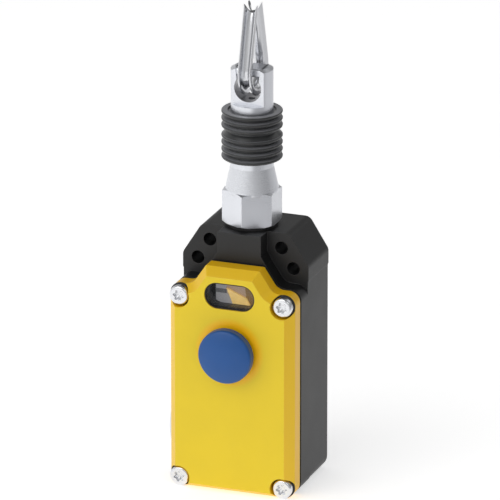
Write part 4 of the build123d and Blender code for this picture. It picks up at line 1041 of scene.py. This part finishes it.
@dataclass
class Window:
    """Clear pane in a black rim, and the dial with its pointer behind it."""

    z: float = 82.6
    half_straight: float = 5.1
    half_height: float = 5.4
    front: float = -25.3
    flange_front: float = -22.1
    rear: float = -20.9
    flange: float = 1.6
    rim: float = 0.55
    rim_round: float = 0.15
    rim_chamfer: float = 0.1
    clearance: float = 0.02
    pane: float = 0.4
    pane_drop: float = 0.12
    pane_gap: float = 0.01
    pane_margin: float = 0.25
    pane_round: float = 0.15
    pane_bend: Pair = (0.06, 0.05)
    end_steps: int = 28
    dial_front: float = -16.8
    print_gap: float = 0.01
    print_depth: float = 0.05
    sector: tuple[Pair, ...] = (
        (-3.2, 86.0), (-5.1, 82.2), (-1.0, 77.5), (0.2, 73.5), (10.4, 73.5), (10.4, 86.0),
    )
    # Outline of the painted shadow at the window's right end.
    shade: tuple[Pair, ...] = ((3.2, 86.0), (3.8, 80.0), (5.2, 73.5), (10.5, 73.5), (10.5, 86.0))
    band: tuple[float, float, float, float] = (-8.9, -4.3, 80.9, 82.6)
    left_mask: tuple[float, float, float, float] = (-10.9, -8.9, 71.2, 85.0)
    low_mask: tuple[float, float, float, float] = (-8.9, 0.4, 71.2, 76.2)

    def build(self, nodes: Nodes) -> None:
        """Dresses the window's CAD nodes and builds the pane, its rim and the dial's prints.

        Args:
            nodes: The frame's nodes.
        """
        dress(nodes, BLACK_PLASTIC, "window_bezel")
        dress(nodes, DIAL_PAINT, "indicator_dial")
        dress(nodes, AMBER_PLASTIC, "indicator_pointer")
        dress(nodes, ZINC_STEEL, "bezel_screws", "indicator_link")
        self.build_rim()
        self.build_pane()
        self.build_print()

    def loop(self, margin: float) -> list[Pair]:
        """Obround outline, larger than the window by a margin all round.

        Args:
            margin: How far outside the window's edge it runs.

        Returns:
            Points as (x, z).
        """
        radius = self.half_height + margin
        right = arc((self.half_straight, self.z), radius, -90, 90, self.end_steps)
        left = arc((-self.half_straight, self.z), radius, 90, 270, self.end_steps)
        return [*right, *left]

    def rings(self, form: bmesh.types.BMesh, steps: Sequence[Pair]) -> Rings:
        """Adds one obround ring for each pair of margin and depth.

        Args:
            form: The bmesh that takes the vertices.
            steps: Margin and y of each ring.

        Returns:
            The rings' vertices.
        """
        return [[form.verts.new(row_point(x, y, z)) for x, z in self.loop(margin)] for margin, y in steps]

    def build_rim(self) -> None:
        """Builds the black rim that the pane sits in."""
        form = bmesh.new()
        inside, outside = -self.rim, self.flange - self.clearance
        rear, step = self.rear - self.clearance, self.flange_front + self.clearance
        steps = [
            (-self.clearance, self.front + self.rim_round), (-self.rim_round, self.front),
            (inside + self.rim_chamfer, self.front), (inside, self.front + self.pane_drop),
            (inside, rear), (outside, rear), (outside, step), (-self.clearance, step),
        ]
        skin(form, self.rings(form, steps), closed=True)
        mesh = clean_mesh(form, "window_rim")
        Piece("window_rim", "enclosure", "black_plastic", GLOSS_BLACK, ("window_lens",), 40.0).add(mesh)

    def build_pane(self) -> None:
        """Builds the clear pane inside the rim."""
        form = bmesh.new()
        edge, front = -self.rim - self.pane_gap, self.front + self.pane_drop
        flat, rear = edge - self.pane_margin, front + self.pane
        bend_in, bend_back = self.pane_bend
        steps = [
            (flat, front), (edge - bend_in, front + bend_back), (edge, front + self.pane_round),
            (edge, rear), (flat, rear),
        ]
        tube(form, self.rings(form, steps))
        mesh = clean_mesh(form, "window_pane")
        Piece("window_pane", "enclosure", "clear_lens", CLEAR_LENS, ("window_lens",), 30.0).add(mesh)

    def build_print(self) -> None:
        """Builds the printed fields that lie on the dial, and a sheet of painted shadow at the window's right end.
        """
        left_mask, low_mask, band = (
            ((left, high), (left, low), (right, low), (right, high))
            for left, right, low, high in (self.left_mask, self.low_mask, self.band)
        )
        for level, (name, slot, fields, finish) in enumerate((
            ("dial_black_print", "black_plastic", (left_mask, low_mask), GLOSS_BLACK),
            ("dial_brown_print", "grey_plastic", (self.sector,), BROWN_PRINT),
            # Painted shadow: a darker brown sheet over the sector's right end.
            ("dial_shade_print", "grey_plastic", (self.shade,), PAINTED_SHADOW),
            ("dial_dark_print", "grey_plastic", (band,), DARK_PRINT),
        )):
            ends = (self.dial_front - self.print_gap, self.dial_front - self.print_depth * (1 + level))
            form = bmesh.new()
            for field in fields:
                prism(form, field, ends, front_point)
            Piece(name, "enclosure", slot, finish, (), 30.0).add(clean_mesh(form, name))


@dataclass
class ResetButton:
    """Push button with its stem, guide and spring."""

    z: float = 59.5
    rear: float = -27.8
    rim: float = -31.6
    apex: float = -33.9
    radius: float = 11.05
    shoulder: float = 0.8
    recess_radius: float = 9.0
    recess_floor: float = -30.4
    post_radius: float = 4.6
    post_end: float = -29.1
    bore_radius: float = 3.05
    bore_floor: float = -31.0
    foot_chamfer: float = 0.3
    spring_gap: float = 0.05
    crown_steps: int = 24
    corner_steps: int = 10
    around: int = 128

    def build(self, nodes: Nodes) -> None:
        """Dresses the inner pieces and builds the cap and its spring.

        Args:
            nodes: The frame's nodes.
        """
        dress(nodes, BLUE_PLASTIC, "reset_stem")
        dress(nodes, SPRING_STEEL, "reset_clip")
        dress(nodes, BLACK_PLASTIC, "reset_guide", "reset_nut")
        dress(nodes, BLACK_RUBBER, "reset_seal")
        self.build_cap()
        foot = (0.0, self.recess_floor + self.spring_gap, self.z)
        Spring(
            "reset_spring", foot, Way.REARWARDS, radius=6.2, wire=0.7, length=3.3, turns=2,
            foot_body="reset_button", head_body="enclosure",
        ).build()

    def outline(self) -> list[Pair]:
        """Outline of the cap: a flat dome, a round corner that runs into it, and the hollow behind.

        Returns:
            Points as radius and distance behind the apex.
        """
        dome = self.rim - self.apex
        ball = (self.radius**2 + dome**2) / (2 * dome)
        flank = self.radius - self.shoulder
        meet = ball - math.sqrt(ball**2 - flank**2)
        crown = [
            (flank * share, ball - math.sqrt(ball**2 - (flank * share) ** 2))
            for share in (step / self.crown_steps for step in range(self.crown_steps + 1))
        ]
        slope = math.asin(flank / ball)
        turn = self.shoulder / (1 - math.sin(slope))
        middle = (self.radius - turn, meet + turn * math.cos(slope))
        corner = arc(middle, turn, math.degrees(slope) - 90, 0, self.corner_steps)[1:]
        depth = self.rear - self.apex
        recess = self.recess_floor - self.apex
        post = self.post_end - self.apex
        bore = self.bore_floor - self.apex
        return [
            *crown,
            *corner,
            (self.radius, depth - self.foot_chamfer),
            (self.radius - self.foot_chamfer, depth),
            (self.recess_radius, depth),
            (self.recess_radius, recess),
            (self.post_radius, recess),
            (self.post_radius, post),
            (self.bore_radius, post),
            (self.bore_radius, bore),
            (0.0, bore),
        ]

    def place(self, across: float, up: float, depth: float) -> Vector:
        """Returns the row point for two offsets from the button's axis and a depth behind its apex."""
        return row_point(across, self.apex + depth, self.z + up)

    def build_cap(self) -> None:
        """Builds the domed cap."""
        form = bmesh.new()
        lathe(form, self.outline(), self.place, self.around)
        mesh = clean_mesh(form, "reset_button_cap")
        Piece("reset_button_cap", "reset_button", "blue_plastic", BLUE_PLASTIC, ("reset_cap",)).add(mesh)


@dataclass
class Bellows:
    """Ribbed rubber sleeve between the neck and the eye."""

    first_crest: float = 133.4
    pitch: float = 2.85
    second_crest: float = 146.15
    lower_folds: int = 4
    upper_folds: int = 3
    crest_radius: float = 12.1
    valley_radius: float = 10.0
    fold_half: float = 1.2
    fold_up: float = 0.75
    fold_down: float = 1.05
    slope: float = 2.3
    inner_radius: float = 9.0
    neck_radius: float = 8.66
    eye_radius: float = 8.46
    collar: float = 1.6
    flat_share: float = 0.75
    sunk_radius: float = 9.5
    sunk_depth: float = 0.7
    sunk_ease: float = 0.12
    collar_ease: float = 0.4
    outer_rings: int = 330
    bore_rings: int = 60
    top_rings: int = 48
    foot_rings: int = 12
    around: int = 144

    def build(self) -> None:
        """Builds the sleeve and links it in place, without a body."""
        bottom = self.first_crest - self.fold_half
        top = self.second_crest + (self.upper_folds - 1) * self.pitch + self.fold_up * self.flat_share
        piece = Piece("bellows_sleeve", "enclosure", "bellows_rubber", BELLOWS_RUBBER, ("bellows",), 60.0)
        made = piece.link(self.sleeve(bottom, top))
        low = row_point(0, 0, bottom + self.collar)
        high = row_point(0, 0, top - self.collar)
        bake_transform(made)

    def sleeve(self, bottom: float, top: float) -> bpy.types.Mesh:
        """Makes the sleeve by its rule: a rounded crest every pitch, with one wider step.

        Args:
            bottom: Height of its lower end in millimetres.
            top: Height of its upper end in millimetres.

        Returns:
            The closed mesh.
        """
        tree = GeometryTree("ribbed_sleeve", {
            "First Crest": self.first_crest, "Pitch": self.pitch, "Second Crest": self.second_crest,
            "Crest Radius": self.crest_radius, "Valley Radius": self.valley_radius,
            "Fold Up": self.fold_up, "Fold Down": self.fold_down, "Slope": self.slope,
            "Inner Radius": self.inner_radius, "Neck Radius": self.neck_radius, "Eye Radius": self.eye_radius,
            "Collar": self.collar, "Bottom": bottom, "Top": top,
            "Sunk Radius": self.sunk_radius, "Sunk Depth": self.sunk_depth,
        })
        low, high = tree.size("Bottom"), tree.size("Top")
        neck, eye = tree.size("Neck Radius"), tree.size("Eye Radius")
        span = high - low
        outer = self.wall(tree, self.outer_rings, lambda share: (
            self.fold_radius(tree, low + span * share), low + span * share
        ))
        sunk = high - tree.size("Sunk Depth")
        bore = span - tree.size("Sunk Depth")
        inner = self.wall(tree, self.bore_rings, lambda share: (
            self.bore_radius(tree, sunk - bore * share), sunk - bore * share
        ))
        last = self.fold_radius(tree, high)
        first = self.fold_radius(tree, low)
        cap = self.wall(tree, self.top_rings, lambda share: self.top_face(tree, last + (eye - last) * share))
        foot = self.wall(tree, self.foot_rings, lambda share: (neck + (first - neck) * share, low))
        joined = tree.node("GeometryNodeJoinGeometry")
        for part in (outer, inner, cap, foot):
            tree.feed(joined.inputs[0], part)
        closed = tree.node("GeometryNodeMergeByDistance", None, {
            "Geometry": joined.outputs[0], "Distance": MERGE_DISTANCE,
        })
        return tree.cleaned(closed.outputs[0], BELLOWS_RUBBER)

    def top_face(self, tree: GeometryTree, radius: Signal) -> tuple[Signal, Signal]:
        """Radius and height of the flat top, which is sunk round the eye."""
        drop = 1.0 - (radius - tree.size("Sunk Radius")).ramped(-self.sunk_ease, self.sunk_ease)
        return radius, tree.size("Top") - tree.size("Sunk Depth") * drop

    def bore_radius(self, tree: GeometryTree, height: Signal) -> Signal:
        """Finds the radius of the sleeve's bore, which is closed in at both collars.

        Args:
            tree: The tree that takes the nodes.
            height: Height in millimetres.

        Returns:
            The radius in millimetres.
        """
        inner, collar = tree.size("Inner Radius"), tree.size("Collar")
        at_foot = 1.0 - (height - tree.size("Bottom") - collar).ramped(0.0, self.collar_ease)
        at_head = (height - tree.size("Top") + collar).ramped(-self.collar_ease, 0.0)
        neck, eye = tree.size("Neck Radius"), tree.size("Eye Radius")
        return inner + (neck - inner) * at_foot + (eye - inner) * at_head

    def fold_radius(self, tree: GeometryTree, height: Signal) -> Signal:
        """Finds the radius of the outer wall: lower folds, one wide sloping step, then upper folds.

        Args:
            tree: The tree that takes the nodes.
            height: Height in millimetres.

        Returns:
            The radius in millimetres.
        """
        pitch, second = tree.size("Pitch"), tree.size("Second Crest")
        from_first = (height - tree.size("First Crest")) / pitch
        from_second = (height - second) / pitch
        lower_fold = from_first.maths("ROUND", from_first).at_most(self.lower_folds - 1.0)
        upper_fold = from_second.maths("ROUND", from_second).at_least(0.0)
        below = (from_first - lower_fold) * pitch
        above = (from_second - upper_fold) * pitch
        last_lower = height - tree.size("First Crest") - pitch * (self.lower_folds - 1.0)
        cone = (1.0 - last_lower / tree.size("Slope")) * last_lower.ramped(0.0, 0.01)
        bulge = self.fold_bulge(tree, below).at_least(self.fold_bulge(tree, above)).at_least(cone)
        valley = tree.size("Valley Radius")
        return valley + (tree.size("Crest Radius") - valley) * bulge

    def fold_bulge(self, tree: GeometryTree, off: Signal) -> Signal:
        """Finds the shape of one fold: a blunt disc with a sloping underside.

        Args:
            tree: The tree that takes the nodes.
            off: Height above the fold's crest in millimetres.

        Returns:
            Share of the fold's reach, 1 at its crest.
        """
        up = (off / tree.size("Fold Up")).at_least(0.0)
        down = (0.0 - off / tree.size("Fold Down")).at_least(0.0)
        inside = (1.0 - up * up * up * up - down * down).at_least(0.0)
        return inside.maths("POWER", inside, 0.5)

    def wall(
        self, tree: GeometryTree, steps: int, rule: Callable[[Signal], tuple[Signal, Signal]]
    ) -> bpy.types.NodeSocket:
        """Rolls a grid into a wall of revolution.

        Args:
            tree: The tree that takes the nodes.
            steps: Vertices along the outline.
            rule: Gives the radius and the height in millimetres for a share of the outline.

        Returns:
            The wall's geometry.
        """
        grid = tree.node("GeometryNodeMeshGrid", None, {
            "Size X": 1.0, "Size Y": 1.0, "Vertices X": self.around + 1, "Vertices Y": steps,
        })
        flat = tree.node("GeometryNodeInputPosition").outputs[0]
        place = tree.node("ShaderNodeSeparateXYZ", None, {0: flat})
        turn = (tree.signal(place, 0) + 0.5) * (2 * math.pi)
        radius, height = rule(tree.signal(place, 1) + 0.5)
        axis = row_point(0, 0, 0)
        x = turn.maths("COSINE", turn) * radius * MM + axis.x
        y = turn.maths("SINE", turn) * radius * MM + axis.y
        z = height * MM + axis.z
        target = tree.node("ShaderNodeCombineXYZ", None, {0: x, 1: y, 2: z})
        moved = tree.node("GeometryNodeSetPosition", None, {
            "Geometry": grid.outputs["Mesh"], "Position": target.outputs[0],
        })
        return moved.outputs[0]


@dataclass
class Thimble:
    """Sheet channel bent to a teardrop, which hangs from the eye's bar."""

    y: float = 1.1
    z: float = 168.5
    inner_radius: float = 6.2
    tip_inner_radius: float = 0.3
    tip_outer_radius: float = 3.3
    reach: float = 26.5
    depth: float = 4.1
    half_width: float = 2.75
    sheet: float = 0.8
    hollow: float = 3.3
    belly_share: float = 0.62
    belly_steps: int = 24
    lip_steps: int = 6
    arc_steps: int = 72
    leg_steps: int = 18

    def section(self, depth: float) -> list[Pair]:
        """Closed section of the channel.

        Args:
            depth: Height of the flanges above the web's inner face.

        Returns:
            Points as (x, distance from the web's inner face).
        """
        half, sheet = self.half_width, self.sheet
        belly = min(half, depth * self.belly_share)
        outer = [(x, belly + y * belly / half) for x, y in arc((0, 0), half, 180, 360, self.belly_steps)]
        inner_half = half - sheet
        inner_belly = belly - sheet
        inner = [
            (x, belly + y * inner_belly / inner_half)
            for x, y in arc((0, 0), inner_half, 360, 180, self.belly_steps)
        ]
        lip = sheet / 2
        right = arc((half - lip, depth - lip), lip, 0, 180, self.lip_steps)
        left = arc((-half + lip, depth - lip), lip, 0, 180, self.lip_steps)
        return [*outer, *right, *inner, *left]

    def line(self) -> list[tuple[float, float, float, float, float]]:
        """Path of the web's inner face with its outward direction and the channel's depth.

        Returns:
            y, z, outward y, outward z and depth for each station.
        """
        big, small = self.inner_radius, self.tip_inner_radius
        lean = math.asin((big - small) / self.reach)
        stations = []
        start, end = lean, -math.pi - lean
        low, high = self.z + big * math.sin(lean), self.z + self.reach + small * math.sin(lean)
        tip_depth = self.tip_outer_radius - small
        for step in range(self.leg_steps):
            share = step / self.leg_steps
            depth = tip_depth + (self.depth - tip_depth) * share
            y = self.y + (small + (big - small) * share) * math.cos(lean)
            stations.append((y, high + (low - high) * share, math.cos(lean), math.sin(lean), depth))
        for step in range(self.arc_steps + 1):
            angle = start + (end - start) * step / self.arc_steps
            out = (math.cos(angle), math.sin(angle))
            stations.append((self.y + big * out[0], self.z + big * out[1], *out, self.depth))
        mirrored = [
            (2 * self.y - y, z, -out_y, out_z, depth)
            for y, z, out_y, out_z, depth in reversed(stations[: self.leg_steps])
        ]
        return stations + mirrored

    def build(self) -> None:
        """Builds the thimble."""
        form = bmesh.new()
        rings = []
        stations = self.line()
        for index, (y, z, out_y, out_z, depth) in enumerate(stations):
            near = min(index, len(stations) - 1 - index) / self.leg_steps
            cut = self.hollow * max(0.0, 1.0 - near) ** 3
            ring = []
            for x, away in self.section(depth):
                sunk = cut * (1 - (x / self.half_width) ** 2)
                ring.append(form.verts.new(row_point(x, y + out_y * away, z + out_z * away - sunk)))
            rings.append(ring)
        tube(form, rings)
        mesh = clean_mesh(form, "thimble_channel")
        Piece("thimble_channel", "rope_thimble", "bright_sheet", BRIGHT_SHEET, ("thimble",), 50.0).add(mesh)


@dataclass
class RopeEye:
    """Round eye with two flats, whose opening narrows to a neck above its round hole."""

    radius: float = 8.4
    low: float = 139.3
    high: float = 170.3
    chamfer_width: float = 1.75
    chamfer_height: float = 1.0
    flat_y: float = 5.05
    flat_low: float = 155.4
    hole_z: float = 162.3
    hole_radius: float = 5.55
    neck_half: float = 4.6
    mouth_half: float = 5.2
    bar_half: float = 4.6
    bar_low: float = 166.8
    bar_round: float = 1.3
    bore_radius: float = 4.02
    bore_high: float = 150.5
    drain_radius: float = 1.4
    reach: float = 10.0
    beyond: float = 1.0
    bar_end: float = 0.4
    hole_steps: int = 72
    bar_steps: int = 8
    drain_sides: int = 32
    around: int = 128

    def build(self) -> None:
        """Builds the eye from a turned body, its cuts and its bar."""
        tools = [self.turned_body(), *self.cuts(), self.bar()]
        tree = GeometryTree("rope_eye_body", {})
        shapes = [tree.node("GeometryNodeObjectInfo", None, {"Object": tool}).outputs["Geometry"] for tool in tools]
        cut = tree.node("GeometryNodeMeshBoolean", {"operation": "DIFFERENCE", "solver": "EXACT"}, {0: shapes[0]})
        for shape in shapes[1:-1]:
            tree.feed(cut.inputs[1], shape)
        joined = tree.node("GeometryNodeMeshBoolean", {"operation": "UNION", "solver": "EXACT"})
        for shape in (cut.outputs[0], shapes[-1]):
            tree.feed(joined.inputs[1], shape)
        mesh = tree.cleaned(joined.outputs[0], EYE_METAL)
        for tool in tools:
            bpy.data.objects.remove(tool)
        Piece("rope_eye_body", "pull_rod_assembly", "satin_metal", EYE_METAL, ("rope_eye",), 25.0).add(mesh)

    def tool(self, name: str, form: bmesh.types.BMesh) -> bpy.types.Object:
        """Links a closed shape that the tree reads.

        Args:
            name: The shape's name.
            form: The shape, which is freed.

        Returns:
            The object, which goes once the tree has run.
        """
        made = bpy.data.objects.new(name, clean_mesh(form, name))
        bpy.context.scene.collection.objects.link(made)
        return made

    def turned_body(self) -> bpy.types.Object:
        """Makes the turned body.

        Returns:
            The body with the rod's bore in its foot.
        """
        form = bmesh.new()
        outline = [
            (0.0, self.bore_high), (self.bore_radius, self.bore_high), (self.bore_radius, self.low),
            (self.radius, self.low), (self.radius, self.high - self.chamfer_height),
            (self.radius - self.chamfer_width, self.high), (0.0, self.high),
        ]
        lathe(form, outline, row_point, self.around)
        return self.tool("eye_turned_body", form)

    def prism(self, name: str, outline: Sequence[Pair], ends: Pair) -> bpy.types.Object:
        """Makes an upright outline into a prism.

        Args:
            name: The prism's name.
            outline: Closed outline of (x, z).
            ends: The y at which the prism starts and ends.

        Returns:
            The prism.
        """
        form = bmesh.new()
        prism(form, outline, ends, front_point)
        return self.tool(name, form)

    def cuts(self) -> list[bpy.types.Object]:
        """Makes the shapes that are cut away.

        Returns:
            The two flats, the opening and the drain.
        """
        top = self.high + self.beyond
        flat = [(-self.reach, self.flat_low), (self.reach, self.flat_low), (self.reach, top), (-self.reach, top)]
        rise = math.degrees(math.acos(self.neck_half / self.hole_radius))
        hole = arc((0.0, self.hole_z), self.hole_radius, 180 - rise, 360 + rise, self.hole_steps)
        opening = [*hole, (self.mouth_half, top), (-self.mouth_half, top)]
        drain = bmesh.new()
        foot = self.bore_high - self.beyond
        span = [(0.0, foot), (self.drain_radius, foot), (self.drain_radius, self.hole_z), (0.0, self.hole_z)]
        lathe(drain, span, row_point, self.drain_sides)
        return [
            self.prism("eye_front_flat", flat, (-self.reach, -self.flat_y)),
            self.prism("eye_rear_flat", flat, (self.flat_y, self.reach)),
            self.prism("eye_opening", opening, (-self.reach, self.reach)),
            self.tool("eye_drain", drain),
        ]

    def bar(self) -> bpy.types.Object:
        """Makes the rounded bar that the thimble hangs from.

        Returns:
            The bar, whose ends lie within the cheeks.
        """
        half, turn = self.bar_half - self.bar_round, self.bar_round
        low, high = self.bar_low + turn, self.high - turn
        corners = ((half, low, -90), (half, high, 0), (-half, high, 90), (-half, low, 180))
        rounds = [arc((y, z), turn, start, start + 90, self.bar_steps) for y, z, start in corners]
        end = self.mouth_half + self.bar_end
        form = bmesh.new()
        prism(form, [point for part in rounds for point in part], (-end, end), lambda y, z, x: row_point(x, y, z))
        return self.tool("eye_bar", form)


@dataclass
class PullRod:
    """Neck, rod, eye and the pieces that the rod carries."""

    spring: Spring = Spring(
        "main_spring", (0.0, 0.0, 69.55), Way.UPWARDS, radius=6.6, wire=1.8, length=20.9, turns=5,
        foot_body="pull_rod_assembly", head_body="enclosure",
    )

    def build(self, nodes: Nodes) -> None:
        """Dresses the CAD nodes and builds the spring, the bellows, the eye and the thimble.

        Args:
            nodes: The frame's nodes.
        """
        dress(nodes, SATIN_METAL, "neck_nut")
        dress(nodes, BRIGHT_STEEL, "pull_rod", "cam_sleeve", "spacer_tube", "latch_ring")
        dress(nodes, ZINC_STEEL, "lock_nut", "spring_collar", "rod_circlip", "spring_seat")
        dress(nodes, BRONZE, "guide_bushes")
        dress(nodes, BLACK_RUBBER, "rod_seal")
        self.spring.build()
        Bellows().build()
        RopeEye().build()
        Thimble().build()


@dataclass
class InnerWorks:
    """Contacts, latch and terminals inside the housing."""

    spring: Spring = Spring(
        "latch_spring", (0.0, -21.85, 48.05), Way.REARWARDS, radius=1.8, wire=0.5, length=10.3, turns=7,
        foot_body="enclosure", head_body="latch",
    )

    def build(self, nodes: Nodes) -> None:
        """Dresses the inner CAD nodes and builds the latch's spring.

        Args:
            nodes: The frame's nodes.
        """
        dress(nodes, ZINC_STEEL, "latch_bracket", "latch_lever")
        dress(nodes, ZINC_STEEL, "lower_guide", "guide_screws", "block_screws")
        dress(nodes, BRIGHT_STEEL, "latch_pin")
        self.spring.build()
        dress(nodes, CONTACT_PLASTIC, "contact_block_left", "contact_block_right")
        dress(nodes, RED_PLASTIC, "plunger_left")
        dress(nodes, WHITE_PLASTIC, "plunger_right")
        dress(nodes, BRASS_PLATE, "terminal_clamps", "earth_terminal")
        dress(nodes, ZINC_STEEL, "terminal_screws")


def undressed(nodes: Nodes, before: Iterable[str]) -> list[str]:
    """Finds the CAD nodes that no class has dressed.

    Args:
        nodes: The frame's nodes.
        before: Names of the frame's own materials.

    Returns:
        Names of the nodes that kept such a material.
    """
    known = set(before)
    return [
        name
        for name, made in nodes.items()
        if any(place.material is None or place.material.name in known for place in made.material_slots)
    ]


def main() -> None:
    """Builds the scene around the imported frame."""
    logging.basicConfig(level=logging.INFO, format="%(name)s: %(message)s")
    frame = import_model()
    before = [material.name for material in bpy.data.materials]
    nodes = frame["nodes"]
    Studio().build()
    Enclosure().build(nodes)
    Window().build(nodes)
    ResetButton().build(nodes)
    PullRod().build(nodes)
    InnerWorks().build(nodes)
    left = undressed(nodes, before)
    if left:
        LOG.warning("undressed nodes: %s", ", ".join(left))


if __name__ == "__main__":
    main()
